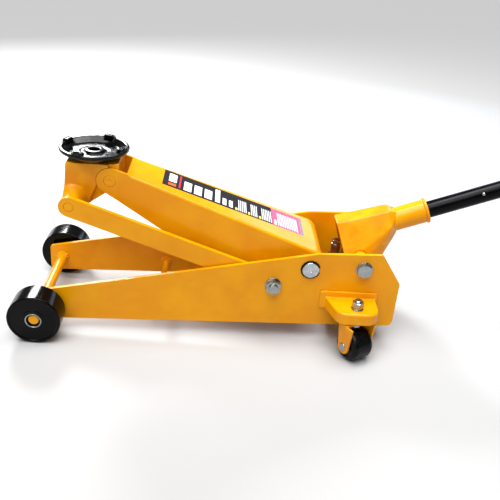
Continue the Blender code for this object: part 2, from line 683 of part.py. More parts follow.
def build_caster_mounts(jack, name, side, steel):
    """Pressed bracket on the plate, with its nut and a kingpin that carries the swivel race."""
    pin_x, pin_y = CASTER_PIN_AT
    yellow = jack.material
    wall = BRACKET_WALL
    face = PLATE_OUTER + GAP
    root = face + wall / 2
    front = face + BRACKET_DEPTH
    left, right = pin_x - BRACKET_LEFT, pin_x + BRACKET_RIGHT
    skirt_bottom = FORK_CROWN_TOP + BRACKET_SKIRT_GAP
    height = BRACKET_TOP - skirt_bottom

    def plan(inset, back, radius):
        """Plan outline of the pressing, set in by a wall."""
        corners = [
            (left - BRACKET_SPLAY + inset, back, 0.0),
            (right - inset, back, 0.0),
            (right - inset, front - inset, radius),
            (left + inset, front - inset, radius),
        ]
        return [(x, side * y) for x, y in rounded(corners)]

    middle = Matrix.Translation((0.0, 0.0, BRACKET_TOP - height / 2))
    bracket = jack.flat(
        f"caster_bracket_{name}", plan(0.0, root, BRACKET_CORNER), height, middle
    )
    depth = height - wall + OVERSHOOT
    low = Matrix.Translation((0.0, 0.0, BRACKET_TOP - wall - depth / 2))
    hollow = jack.flat(
        f"{name}_bracket_hollow", plan(wall, root - OVERSHOOT, BRACKET_CORNER - wall), depth, low,
        cutter=True,
    )
    jack.combine(bracket, hollow, "DIFFERENCE")

    flange_left, flange_right = pin_x - BRACKET_FLANGE_LEFT, pin_x + BRACKET_FLANGE_RIGHT
    flange_bottom = FORK_CROWN_TOP + BRACKET_FLANGE_GAP
    flange_top = flange_bottom + BRACKET_FLANGE_HEIGHT
    flange = jack.flat(
        f"{name}_bracket_flange",
        rounded([
            (flange_left, flange_bottom, wall),
            (flange_right, flange_bottom, wall),
            (flange_right, flange_top, wall),
            (flange_left, flange_top, wall),
        ]),
        wall, side_view(side * root), cutter=True,
    )
    jack.combine(bracket, flange, "UNION")
    stand = Matrix.Translation((pin_x, side * pin_y, 0.0))
    bore = jack.rod(
        f"{name}_bracket_bore", KINGPIN_RADIUS + GAP, BRACKET_TOP - 2 * wall,
        BRACKET_TOP + OVERSHOOT, stand, cutter=True,
    )
    jack.combine(bracket, bore, "DIFFERENCE")

    jack.paint(steel)
    nut_base = BRACKET_TOP + GAP
    pin_top = nut_base + KING_NUT_HEIGHT + KING_WASHER_HEIGHT + KINGPIN_PROUD
    head_top = FORK_CROWN_TOP - FORK_WALL - RUN
    jack.turned(f"kingpin_{name}", [
        (0.0, pin_top),
        (KINGPIN_RADIUS - CLIP_DEPTH, pin_top),
        (KINGPIN_RADIUS, pin_top - CLIP_DEPTH),
        (KINGPIN_RADIUS, BRACKET_TOP - BRACKET_WALL - GAP),
        (SWIVEL_RADIUS, BRACKET_TOP - BRACKET_WALL - GAP),
        (SWIVEL_RADIUS, FORK_CROWN_TOP + RUN),
        (KINGPIN_RADIUS, FORK_CROWN_TOP + RUN),
        (KINGPIN_RADIUS, head_top),
        (KINGPIN_HEAD_RADIUS, head_top),
        (KINGPIN_HEAD_RADIUS, head_top - KINGPIN_HEAD_HEIGHT),
        (0.0, head_top - KINGPIN_HEAD_HEIGHT),
    ], stand)
    jack.hex_nut(
        f"kingpin_nut_{name}", KING_NUT_FLATS, KING_NUT_HEIGHT + KING_WASHER_HEIGHT,
        (KING_WASHER_RADIUS, KING_WASHER_HEIGHT), KINGPIN_RADIUS + GAP,
        stand @ Matrix.Translation((0.0, 0.0, nut_base)),
    )
    jack.paint(yellow)


def build_power_unit(jack, yellow, cast, steel):
    """Cylinder, pump block, base plate and filler plug."""
    jack.paint(yellow)
    base_top = BLOCK_BOTTOM - GAP
    jack.block(
        "unit_base_plate",
        (BASE_PLATE_FRONT, -PLATE_INNER + GAP, base_top - BASE_PLATE_THICKNESS),
        (BLOCK_REAR, PLATE_INNER - GAP, base_top),
    )
    jack.paint(cast)
    along = Matrix.Translation((0.0, 0.0, RAM_AXIS_Z)) @ facing((1.0, 0.0, 0.0))
    bore = RAM_RADIUS + RUN
    chamfer = BRACKET_WALL / 2
    cylinder = jack.turned("cylinder", [
        (CYLINDER_RADIUS, CYLINDER_REAR - GAP),
        (CYLINDER_RADIUS, CYLINDER_FRONT + chamfer),
        (CYLINDER_RADIUS - chamfer, CYLINDER_FRONT),
        (bore, CYLINDER_FRONT),
        (bore, CYLINDER_REAR - GAP),
    ], along, ROUND, bored=True)
    above = Matrix.Translation((FILLER_AT, 0.0, 0.0))
    boss_foot = RAM_AXIS_Z + CYLINDER_RADIUS * 0.8
    boss = jack.rod("filler_boss", FILLER_BOSS_RADIUS, boss_foot, FILLER_BOSS_TOP, above, cutter=True)
    jack.combine(cylinder, boss, "UNION")
    well = jack.rod(
        "filler_well", FILLER_RADIUS + GAP, FILLER_BOSS_TOP - FILLER_DEPTH - GAP,
        FILLER_BOSS_TOP + OVERSHOOT, above, cutter=True,
    )
    jack.combine(cylinder, well, "DIFFERENCE")

    outline = [
        (CYLINDER_REAR, BLOCK_BOTTOM),
        (BLOCK_REAR, BLOCK_BOTTOM),
        (BLOCK_REAR, BLOCK_STEP),
        (BLOCK_STEP_AT, BLOCK_STEP),
        (BLOCK_STEP_AT, BLOCK_TOP),
        (CYLINDER_REAR, BLOCK_TOP),
    ]
    block = jack.flat("pump_block", outline, 2 * BLOCK_HALF_WIDTH, side_view())
    ram_bore = jack.rod(
        "ram_bore", bore, CYLINDER_REAR - OVERSHOOT, BLOCK_BORE_END, along, ROUND, cutter=True
    )
    stand = Matrix.Translation((CAM_AT[0], 0.0, 0.0))
    plunger_bore = jack.rod(
        "plunger_bore", PLUNGER_RADIUS + RUN, PLUNGER_BOTTOM - OVERSHOOT, BLOCK_STEP + OVERSHOOT,
        stand, cutter=True,
    )
    valve_line = Matrix.Translation((0.0, 0.0, VALVE_AT)) @ facing((1.0, 0.0, 0.0))
    valve_bore = jack.rod(
        "valve_bore", VALVE_RADIUS + RUN, BLOCK_REAR - VALVE_DEPTH - OVERSHOOT,
        BLOCK_REAR + OVERSHOOT, valve_line @ Matrix.Translation((0.0, -BLOCK_HALF_WIDTH / 2, 0.0)),
        cutter=True,
    )
    for tool in (ram_bore, plunger_bore, valve_bore):
        jack.combine(block, tool, "DIFFERENCE")

    jack.paint(steel)
    seat = FILLER_BOSS_TOP + GAP
    jack.hex_bolt(
        "filler_plug", FILLER_FLATS, (BOLT_FLANGE_HEIGHT, FILLER_HEAD_HEIGHT),
        (FILLER_BOSS_RADIUS, 0.0), (FILLER_RADIUS, -FILLER_DEPTH, BOLT_FLANGE_HEIGHT),
        above @ Matrix.Translation((0.0, 0.0, seat)),
    )


# --- Wheels --------------------------------------------------------------------------

def build_front_wheels(jack, black, steel):
    """Solid wheels, each with a pressed-in steel bush."""
    bore = BUSH_RADIUS + GAP
    for name, side in SIDES.items():
        jack.start_body(f"front_wheel_{name}_axis", (AXLE_AT[0], 0.0, AXLE_AT[1]))
        jack.paint(black)
        frame = across(side, AXLE_AT)
        jack.turned(f"front_wheel_{name}", [
            (WHEEL_RADIUS - WHEEL_EDGE, WHEEL_OUTER),
            (WHEEL_RADIUS, WHEEL_OUTER - WHEEL_EDGE),
            (WHEEL_RADIUS, WHEEL_INNER + WHEEL_EDGE),
            (WHEEL_RADIUS - WHEEL_EDGE, WHEEL_INNER),
            (bore, WHEEL_INNER),
            (bore, WHEEL_OUTER),
        ], frame, WHEEL_STEPS, bored=True)
        jack.paint(steel)
        mouth = WHEEL_OUTER - BUSH_MOUTH
        jack.turned(f"wheel_bush_{name}", [
            (BUSH_RADIUS, WHEEL_OUTER),
            (BUSH_RADIUS, WHEEL_INNER),
            (AXLE_RADIUS + RUN, WHEEL_INNER),
            (AXLE_RADIUS + RUN, mouth),
            (BUSH_RADIUS - BUSH_LIP, mouth),
            (BUSH_RADIUS - BUSH_LIP, WHEEL_OUTER),
        ], frame, 24, bored=True)


def build_casters(jack, yellow, black, steel):
    """Swivelling forks that trail their wheels outward."""
    pin_x, pin_y = CASTER_PIN_AT
    for name, side in SIDES.items():
        turn = CASTER_REST_TURN if side < 0 else math.pi - CASTER_REST_TURN
        swivel = Matrix.Translation((pin_x, side * pin_y, 0.0)) @ Matrix.Rotation(turn, 4, "Z")
        pivot = (pin_x, side * pin_y, FORK_CROWN_TOP)
        body = jack.start_body(f"caster_{name}_axis", pivot)
        jack.paint(yellow)
        crown = rounded([
            (-FORK_OUTER, -FORK_CROWN_FRONT, 0.0),
            (FORK_OUTER, -FORK_CROWN_FRONT, 0.0),
            (FORK_OUTER, FORK_CROWN_RADIUS, FORK_CROWN_RADIUS / 2),
            (-FORK_OUTER, FORK_CROWN_RADIUS, FORK_CROWN_RADIUS / 2),
        ])
        fork = jack.flat(
            f"caster_fork_{name}", crown, FORK_WALL,
            swivel @ Matrix.Translation((0.0, 0.0, FORK_CROWN_TOP - FORK_WALL / 2)),
            [circle((0.0, 0.0), KINGPIN_RADIUS + RUN)],
        )
        axle = (-CASTER_TRAIL, CASTER_WHEEL_RADIUS)
        top = FORK_CROWN_TOP - FORK_WALL / 2
        leg = arc(axle, FORK_LEG_RADIUS, 180.0, 360.0, 12) + [
            (FORK_TOP_WIDTH - FORK_TOP_BACK, top),
            (-FORK_TOP_BACK, top),
        ]
        leg_turn = Matrix.Rotation(math.pi / 2, 4, "Z") @ Matrix.Rotation(math.pi / 2, 4, "X")
        for end in (-1.0, 1.0):
            upright = Matrix.Translation((end * (FORK_OUTER - FORK_WALL / 2), 0.0, 0.0)) @ leg_turn
            tool = jack.flat(
                f"{name}_leg_{'outer' if end < 0 else 'inner'}", leg, FORK_WALL,
                swivel @ upright, [circle(axle, CASTER_AXLE_RADIUS + GAP)], cutter=True,
            )
            jack.combine(fork, tool, "UNION")
        hub_at = Matrix.Translation((0.0, -CASTER_TRAIL, CASTER_WHEEL_RADIUS))
        axle_line = swivel @ hub_at @ facing((1.0, 0.0, 0.0))
        rivet = FORK_OUTER + GAP
        end = rivet + CASTER_RIVET_HEIGHT
        half = [
            (0.0, end),
            (CASTER_RIVET_RADIUS - CLIP_DEPTH, end),
            (CASTER_RIVET_RADIUS, end - CLIP_DEPTH),
            (CASTER_RIVET_RADIUS, rivet),
            (CASTER_AXLE_RADIUS, rivet),
        ]
        jack.paint(steel)
        jack.turned(
            f"caster_axle_{name}", half + [(r, -h) for r, h in reversed(half)], axle_line
        )
        hub = axle_line.translation
        jack.start_body(f"caster_wheel_{name}_axis", tuple(hub), body)
        jack.paint(black)
        half_width = CASTER_WHEEL_WIDTH / 2
        edge = CASTER_WHEEL_EDGE
        shoulder = arc((CASTER_WHEEL_RADIUS - edge, half_width - edge), edge, 90.0, 0.0, 4)
        tread = shoulder + [(r, -h) for r, h in reversed(shoulder)]
        bore = CASTER_AXLE_RADIUS + RUN
        jack.turned(
            f"caster_wheel_{name}", tread + [(bore, -half_width), (bore, half_width)],
            axle_line, ROUND, bored=True,
        )


# --- Lift arm, links, head and saddle -------------------------------------------------

def arm_half_width(along):
    """Outer half-width of the arm at a distance behind the head pivot."""
    share = (along - ARM_WEB_START) / (ARM_SPAN - ARM_WEB_START)
    return ARM_FRONT_HALF + max(0.0, share) * (ARM_REAR_HALF - ARM_FRONT_HALF)


def arm_plan(inset):
    """Plan outline of the arm, set in by a wall, in (distance along, y)."""
    tail = ARM_SPAN + ARM_TAIL_RADIUS + OVERSHOOT
    nose = -ARM_END_RADIUS - OVERSHOOT
    stations = [nose, ARM_WEB_START, tail]
    near = [(s, -(arm_half_width(s) - inset)) for s in stations]
    far = [(s, arm_half_width(s) - inset) for s in reversed(stations)]
    return near + far


def arm_outline():
    """Side outline of the arm, in (distance behind the head pivot, height)."""
    belly_lean = math.degrees(math.atan2(ARM_BELLY[1] + ARM_END_RADIUS, ARM_BELLY[0]))
    return [
        *arc((0.0, 0.0), ARM_END_RADIUS, 90.0, 270.0 + belly_lean, 18),
        ARM_BELLY,
        ARM_HOCK,
        *arc((ARM_SPAN, 0.0), ARM_TAIL_RADIUS, -70.0, 90.0, 20),
    ]


def arm_inside(gap, deep):
    """Side outline of the space under the top plate, which wraps round the shaft at the back."""
    front = ARM_END_RADIUS - ARM_WALL - gap
    rear = ARM_BORE_RADIUS - gap
    wrap = arc((ARM_SPAN, 0.0), rear, 90.0, -ARM_WRAP, 12)
    leave = arc((ARM_SPAN, 0.0), deep, -ARM_WRAP, -90.0, 2)
    slope = (rear - front) / ARM_SPAN
    return [(-deep, front - slope * deep), *wrap, *leave, (-deep, -deep)]


def build_lift_arm(jack, yellow, steel):
    """Folded channel with its head pin, pivot tube, crank and crank pin."""
    jack.start_body("lift_arm_axis", (LIFT_PIVOT[0], 0.0, LIFT_PIVOT[1]))
    jack.paint(yellow)
    frame = arm_frame()
    holes = [
        circle((0.0, 0.0), HEAD_PIN_RADIUS + GAP),
        circle((ARM_SPAN, 0.0), SHAFT_RADIUS + RUN, ROUND),
    ]
    arm = jack.flat("lift_arm", arm_outline(), 2 * LINK_OUTER, frame, holes)
    plan = frame @ Matrix.Rotation(-math.pi / 2, 4, "X")
    deep = 5 * ARM_TAIL_RADIUS
    keep = jack.flat("arm_plan", arm_plan(0.0), 2 * deep, plan, cutter=True)
    jack.combine(arm, keep, "INTERSECT")
    inside = jack.flat("arm_inside", arm_inside(0.0, deep), 2 * LINK_OUTER, frame, cutter=True)
    between = jack.flat("arm_between", arm_plan(ARM_WALL), 3 * deep, plan, cutter=True)
    jack.combine(inside, between, "INTERSECT")
    jack.combine(arm, inside, "DIFFERENCE")
    inner = ARM_FRONT_HALF - ARM_WALL
    window = jack.block(
        "arm_window", (-deep, -deep, -inner), (ARM_WEB_START, deep, inner), frame, cutter=True
    )
    jack.combine(arm, window, "DIFFERENCE")

    head_line = across(1.0, HEAD_PIVOT)
    jack.rod("head_pin", HEAD_PIN_RADIUS, -ARM_FRONT_HALF, ARM_FRONT_HALF, head_line, 24)
    shaft_line = across(1.0, LIFT_PIVOT)
    tube_end = arm_half_width(ARM_SPAN - ARM_TUBE_RADIUS) - ARM_WALL - 2 * GAP
    jack.tube(
        "arm_pivot_tube", SHAFT_RADIUS + RUN, ARM_TUBE_RADIUS, -tube_end, tube_end, shaft_line, ROUND
    )

    hub = ARM_TUBE_RADIUS + GAP + CRANK_HUB_WALL
    crank = jack.flat(
        "crank", tapered_bar(LIFT_PIVOT, CRANK_PIN_AT, hub, CRANK_LOBE_RADIUS),
        2 * CRANK_HALF_WIDTH, side_view(), [
            circle(LIFT_PIVOT, ARM_TUBE_RADIUS + GAP, ROUND),
            circle(CRANK_PIN_AT, CRANK_PIN_RADIUS + GAP),
        ],
    )
    mouth = RAM_HEAD_HALF_WIDTH + RUN
    slot_top = LIFT_PIVOT[1] - ARM_TUBE_RADIUS - CRANK_SLOT_WALL
    slot = jack.block(
        "crank_slot", (LIFT_PIVOT[0] - CRANK_RADIUS, -mouth, CRANK_PIN_AT[1] - CRANK_RADIUS),
        (LIFT_PIVOT[0] + CRANK_RADIUS, mouth, slot_top), cutter=True,
    )
    jack.combine(crank, slot, "DIFFERENCE")
    under_web = jack.flat(
        "crank_room", arm_inside(2 * GAP, deep), 4 * CRANK_HALF_WIDTH, frame, cutter=True
    )
    jack.combine(crank, under_web, "INTERSECT")
    jack.paint(steel)
    pin_line = across(1.0, CRANK_PIN_AT)
    jack.rod("crank_pin", CRANK_PIN_RADIUS, -CRANK_HALF_WIDTH, CRANK_HALF_WIDTH, pin_line)


def build_ram(jack, steel):
    """Ram with an upright slot for the crank pin."""
    jack.start_body("ram_axis", (CRANK_PIN_AT[0], 0.0, RAM_AXIS_Z))
    jack.paint(steel)
    reach = CRANK_PIN_RADIUS + RAM_SLOT_PLAY
    slot_low = LIFT_PIVOT[1] - CRANK_RADIUS - reach
    slot_high = CRANK_PIN_AT[1] + CRANK_RADIUS / 5 + reach
    left = CRANK_PIN_AT[0] - reach
    right = CRANK_PIN_AT[0] + reach
    wall = RAM_HEAD_WALL
    neck = CRANK_PIN_AT[0] + CRANK_LOBE_RADIUS + RAM_SLOT_PLAY + GAP
    outline = rounded([
        (left - wall, slot_low - wall, wall / 2),
        (neck, slot_low - wall, wall / 2),
        (neck, slot_high + wall, wall / 2),
        (left - wall, slot_high + wall, wall / 2),
    ])
    slot = rounded([
        (left, slot_low, wall / 2),
        (right, slot_low, wall / 2),
        (right, slot_high, wall / 2),
        (left, slot_high, wall / 2),
    ])
    ram = jack.flat("ram", outline, 2 * RAM_HEAD_HALF_WIDTH, side_view(), [slot])
    along = Matrix.Translation((0.0, 0.0, RAM_AXIS_Z)) @ facing((1.0, 0.0, 0.0))
    tip = RAM_HEAD_HALF_WIDTH - GAP
    rod = jack.turned("ram_rod", [
        (0.0, RAM_TAIL),
        (RAM_RADIUS, RAM_TAIL),
        (RAM_RADIUS, neck + RAM_TAPER),
        (tip, neck),
        (tip, neck - wall / 3),
        (0.0, neck - wall / 3),
    ], along, ROUND, cutter=True)
    jack.combine(ram, rod, "UNION")


def build_links(jack, yellow, steel):
    """Two link bars, with the pin that joins their front ends."""
    jack.start_body("link_axis", (LINK_PIVOT[0], 0.0, LINK_PIVOT[1]))
    jack.paint(yellow)
    outline = tapered_bar(HEAD_LINK_PIVOT, LINK_PIVOT, LINK_WIDTH / 2, LINK_WIDTH / 2)
    holes = [
        circle(HEAD_LINK_PIVOT, LINK_PIN_RADIUS + GAP),
        circle(LINK_PIVOT, BOLT_RADIUS + RUN),
    ]
    for name, side in SIDES.items():
        bar = jack.flat(
            f"link_bar_{name}", outline, LINK_THICKNESS,
            side_view(side * (LINK_OUTER - LINK_THICKNESS / 2)), holes,
        )
        recess = jack.rod(
            f"link_recess_{name}", LINK_BOLT_HEAD_RADIUS + RUN, LINK_INNER - OVERSHOOT,
            LINK_INNER + LINK_BOLT_HEAD_HEIGHT + 3 * GAP, across(side, LINK_PIVOT), cutter=True,
        )
        jack.combine(bar, recess, "DIFFERENCE")
    jack.rod("link_pin", LINK_PIN_RADIUS, -LINK_OUTER, LINK_OUTER, across(1.0, HEAD_LINK_PIVOT))


def build_saddle_head(jack, yellow):
    """Cast head: box walls round the two pins, a top plate, and link bosses."""
    jack.start_body("head_axis", (HEAD_PIVOT[0], 0.0, HEAD_PIVOT[1]), bpy.data.objects["lift_arm_axis"])
    jack.paint(yellow)
    boss = HEAD_LINK_BOSS
    back = HEAD_PIN_BOSS
    toe = (HEAD_PIVOT[0] + HEAD_TOE[0], HEAD_PIVOT[1] + HEAD_TOE[1])
    outline = [
        (HEAD_BACK, HEAD_TOP),
        (HEAD_NOSE, HEAD_TOP),
        (HEAD_LINK_PIVOT[0] - boss, HEAD_LINK_PIVOT[1] + boss),
        *arc(HEAD_LINK_PIVOT, boss, 180.0, 270.0, 6),
        toe,
        *arc(HEAD_PIVOT, back, -60.0, 0.0, 5),
    ]
    pin_hole = circle(HEAD_PIVOT, HEAD_PIN_RADIUS + RUN, ROUND)
    head = jack.flat("saddle_head", outline, 2 * HEAD_HALF_WIDTH, side_view(), [pin_hole])
    recess = arc(HEAD_PIVOT, ARM_END_RADIUS + HEAD_RECESS, 200.0, 95.0, 12)
    front = [
        *recess,
        (recess[-1][0], HEAD_TOP),
        (HEAD_NOSE, HEAD_TOP),
        (HEAD_LINK_PIVOT[0] - boss, HEAD_LINK_PIVOT[1] + boss),
        *arc(HEAD_LINK_PIVOT, boss, 180.0, 270.0, 6),
        toe,
    ]
    jaw = jack.flat("head_front", front, 2 * ARM_FRONT_HALF, side_view(), cutter=True)
    jack.combine(head, jaw, "UNION")
    wall = HEAD_WALL
    cavity = [
        (HEAD_PIVOT[0] + back - wall, HEAD_TOP - wall),
        (HEAD_NOSE + wall, HEAD_TOP - wall),
        (HEAD_NOSE + wall, HEAD_LINK_PIVOT[1] + boss + wall),
        (HEAD_LINK_PIVOT[0] + boss, HEAD_LINK_PIVOT[1] + boss),
        (HEAD_LINK_PIVOT[0] + boss, toe[1] - wall),
        (HEAD_PIVOT[0] + back - wall, toe[1] - wall),
    ]
    hollow = jack.flat("head_hollow", cavity, 2 * (HEAD_HALF_WIDTH - wall), side_view(), cutter=True)
    jack.combine(head, hollow, "DIFFERENCE")
    root, tip = ARM_FRONT_HALF - wall / 2, LINK_INNER - GAP
    left = HEAD_LINK_PIVOT[0] - boss + GAP
    for name, side in SIDES.items():
        flare = jack.turned(f"head_boss_{name}", [
            (0.0, tip),
            *(
                (boss - GAP + HEAD_FLARE * share ** 2, tip + (root - tip) * share)
                for share in (step / HEAD_FLARE_STEPS for step in range(HEAD_FLARE_STEPS + 1))
            ),
            (0.0, root),
        ], across(side, HEAD_LINK_PIVOT), ROUND, cutter=True)
        keep = jack.block(
            f"head_boss_room_{name}", (left, -LINK_OUTER, toe[1] - boss),
            (HEAD_PIVOT[0], LINK_OUTER, HEAD_TOP - GAP), cutter=True,
        )
        jack.combine(flare, keep, "INTERSECT")
        jack.combine(head, flare, "UNION")
    pin_bore = jack.rod(
        "head_link_bore", LINK_PIN_RADIUS + RUN, -LINK_OUTER, LINK_OUTER,
        across(1.0, HEAD_LINK_PIVOT), cutter=True,
    )
    jack.combine(head, pin_bore, "DIFFERENCE")
    stand = Matrix.Translation((SADDLE_AT, 0.0, 0.0))
    bore = jack.rod(
        "saddle_bore", SADDLE_STEM_RADIUS + RUN, HEAD_TOP - 2 * wall, HEAD_TOP + OVERSHOOT,
        stand, ROUND, cutter=True,
    )
    jack.combine(head, bore, "DIFFERENCE")


def build_saddle(jack, iron, steel):
    """Cast dish with lugs on its rim, a stem in the head and a circlip under it."""
    jack.start_body(
        "saddle_axis", (SADDLE_AT, 0.0, HEAD_TOP), bpy.data.objects["head_axis"]
    )
    jack.paint(iron)
    stand = Matrix.Translation((SADDLE_AT, 0.0, 0.0))
    foot = HEAD_TOP + GAP
    stem_end = HEAD_TOP - SADDLE_STEM_LENGTH
    groove_top = HEAD_TOP - HEAD_WALL - RUN
    groove_low = groove_top - CLIP_THICKNESS - 2 * GAP
    groove = SADDLE_STEM_RADIUS - CLIP_DEPTH - GAP
    saddle = jack.turned("saddle", [
        (SADDLE_RADIUS - SADDLE_RIM_WIDTH, SADDLE_RIM_TOP),
        (SADDLE_RADIUS - SADDLE_RIM_WIDTH / 4, SADDLE_RIM_TOP),
        (SADDLE_RADIUS, SADDLE_RIM_TOP - SADDLE_RIM_WIDTH / 3),
        (SADDLE_RADIUS, SADDLE_RIM_TOP - SADDLE_RIM_WIDTH),
        (SADDLE_FOOT_RADIUS, foot),
        (SADDLE_STEM_RADIUS, foot),
        (SADDLE_STEM_RADIUS, groove_top),
        (groove, groove_top),
        (groove, groove_low),
        (SADDLE_STEM_RADIUS, groove_low),
        (SADDLE_STEM_RADIUS, stem_end),
        (SADDLE_BORE_RADIUS, stem_end),
        (SADDLE_BORE_RADIUS, SADDLE_BOSS_TOP),
        (SADDLE_BOSS_RADIUS, SADDLE_BOSS_TOP),
        (SADDLE_BOSS_RADIUS, SADDLE_SEAT),
        (SADDLE_FOOT_RADIUS + SADDLE_RIM_WIDTH / 2, SADDLE_SEAT),
    ], stand, WHEEL_STEPS, bored=True)
    lug_top = SADDLE_RIM_TOP + SADDLE_LUG_HEIGHT
    for index in range(SADDLE_LUGS):
        turn = Matrix.Rotation(SADDLE_LUG_TURN + index * math.tau / SADDLE_LUGS, 4, "Z")
        outer = SADDLE_RADIUS - SADDLE_RIM_WIDTH / 4
        lug = jack.block(
            f"saddle_lug_{index + 1}",
            (outer - SADDLE_LUG_LENGTH, -SADDLE_LUG_WIDTH / 2, SADDLE_RIM_TOP - SADDLE_RIM_WIDTH),
            (outer, SADDLE_LUG_WIDTH / 2, lug_top), stand @ turn, cutter=True,
        )
        jack.combine(saddle, lug, "UNION")
    jack.paint(steel)
    jack.circlip(
        "saddle_circlip", groove + GAP, SADDLE_STEM_RADIUS + SHAFT_CLIP_WALL, CLIP_THICKNESS,
        stand @ Matrix.Translation((0.0, 0.0, groove_low + GAP + CLIP_THICKNESS / 2)),
    )


# --- Handle socket, pump plunger and handle --------------------------------------------

def build_socket(jack, yellow, steel):
    """Pressed yoke, the tube that takes the handle, the pivot tube and the pump cam."""
    jack.start_body("socket_axis", (SOCKET_PIVOT[0], 0.0, SOCKET_PIVOT[1]))
    jack.paint(yellow)
    bore = HANDLE_RADIUS + RUN
    tube_radius = bore + SOCKET_WALL
    jack.turned("socket_tube", [
        (tube_radius + SOCKET_LIP, SOCKET_MOUTH),
        (tube_radius + SOCKET_LIP, SOCKET_MOUTH - SOCKET_LIP_LENGTH),
        (tube_radius, SOCKET_MOUTH - SOCKET_LIP_LENGTH - SOCKET_LIP),
        (tube_radius, SOCKET_MOUTH - SOCKET_DEPTH),
        (bore, SOCKET_MOUTH - SOCKET_DEPTH),
        (bore, SOCKET_MOUTH),
    ], handle_frame(), 28, bored=True)

    # The yoke is laid out about the socket pivot: (x, half-width, z) of each shell corner
    front_x, front_z = YOKE_CORNER
    flank = tube_radius * YOKE_FLANK
    corners = [
        (front_x, tube_radius * 0.88, front_z),
        (front_x + 0.001, tube_radius * 0.96, front_z - 0.004),
        (-0.0240, flank, -0.0110), (0.0000, flank, -0.0200),
        (0.0340, tube_radius * 2.0, -0.0070), (0.0460, tube_radius, -0.0050),
        (0.0500, tube_radius * YOKE_SHOULDER, 0.0560), (0.0650, tube_radius * 0.75, 0.0400),
        (0.0440, tube_radius * 0.8, 0.0790), (0.0620, tube_radius * 0.55, 0.0760),
    ]
    mesh = bpy.data.meshes.new("socket_yoke")
    work = bmesh.new()
    for x, half, z in corners:
        work.verts.new((x, half, z))
        work.verts.new((x, -half, z))
    hull = bmesh.ops.convex_hull(work, input=work.verts)
    bmesh.ops.delete(work, geom=hull["geom_interior"], context="VERTS")
    open_front = [
        face for face in work.faces
        if face.normal.z < -0.35 or (face.normal.x < -0.75 and face.calc_center_median().x < 0.0)
    ]
    bmesh.ops.delete(work, geom=open_front, context="FACES")
    work.to_mesh(mesh)
    work.free()
    frame = Matrix.Translation((SOCKET_PIVOT[0], 0.0, SOCKET_PIVOT[1]))
    yoke = jack.add("socket_yoke", mesh, frame)
    shell = yoke.modifiers.new("wall", "SOLIDIFY")
    shell.thickness = YOKE_WALL
    shell.offset = -1.0
    shell.use_even_offset = True
    passage = jack.rod(
        "yoke_passage", tube_radius + GAP, SOCKET_MOUTH - SOCKET_DEPTH - OVERSHOOT,
        SOCKET_MOUTH, handle_frame(), 28, cutter=True,
    )
    jack.combine(yoke, passage, "DIFFERENCE")
    pivot_line = across(1.0, SOCKET_PIVOT)
    side_bore = jack.rod(
        "yoke_side_bore", YOKE_TUBE_RADIUS + GAP, -PLATE_INNER, PLATE_INNER, pivot_line, ROUND,
        cutter=True,
    )
    jack.combine(yoke, side_bore, "DIFFERENCE")
    tube_end = PLATE_INNER - 2 * GAP
    jack.tube(
        "socket_pivot_tube", BOLT_RADIUS + RUN, YOKE_TUBE_RADIUS, -tube_end, tube_end, pivot_line, ROUND
    )
    jack.paint(steel)
    jack.rod("pump_cam", CAM_RADIUS, -CAM_HALF_WIDTH, CAM_HALF_WIDTH, across(1.0, CAM_AT))


def build_plunger(jack, steel, spring_steel):
    """Pump plunger under the cam, with its return spring."""
    jack.start_body("plunger_axis", (CAM_AT[0], 0.0, BLOCK_STEP))
    jack.paint(steel)
    stand = Matrix.Translation((CAM_AT[0], 0.0, 0.0))
    head_low = PLUNGER_TOP - PLUNGER_HEAD_HEIGHT
    jack.turned("pump_plunger", [
        (0.0, PLUNGER_TOP),
        (PLUNGER_HEAD_RADIUS, PLUNGER_TOP),
        (PLUNGER_HEAD_RADIUS, head_low),
        (PLUNGER_RADIUS, head_low),
        (PLUNGER_RADIUS, PLUNGER_BOTTOM),
        (0.0, PLUNGER_BOTTOM),
    ], stand)
    jack.body = jack.origin
    jack.paint(spring_steel)
    low = BLOCK_STEP + GAP + SPRING_WIRE
    high = head_low - GAP - SPRING_WIRE
    per_turn = 14
    curve = bpy.data.curves.new("plunger_spring", "CURVE")
    curve.dimensions = "3D"
    curve.bevel_depth = SPRING_WIRE
    curve.bevel_resolution = 1
    curve.use_fill_caps = True
    spline = curve.splines.new("POLY")
    count = SPRING_TURNS * per_turn
    spline.points.add(count)
    for index, point in enumerate(spline.points):
        angle = math.tau * index / per_turn
        height = low + (high - low) * index / count
        point.co = (SPRING_RADIUS * math.cos(angle), SPRING_RADIUS * math.sin(angle), height, 1.0)
    jack.add("plunger_spring", jack.mesh_of(curve), stand)


def build_release_valve(jack, steel):
    """Release valve spindle in the back of the pump block."""
    at = (BLOCK_REAR, -BLOCK_HALF_WIDTH / 2, VALVE_AT)
    jack.start_body("valve_axis", at)
    jack.paint(steel)
    head_low = 2 * GAP
    jack.hex_bolt(
        "release_valve", VALVE_FLATS, (head_low + BOLT_FLANGE_HEIGHT, head_low + VALVE_HEAD),
        (VALVE_FLATS / 2, head_low), (VALVE_RADIUS, -VALVE_DEPTH, head_low + BOLT_FLANGE_HEIGHT),
        Matrix.Translation(at) @ facing((1.0, 0.0, 0.0)),
    )


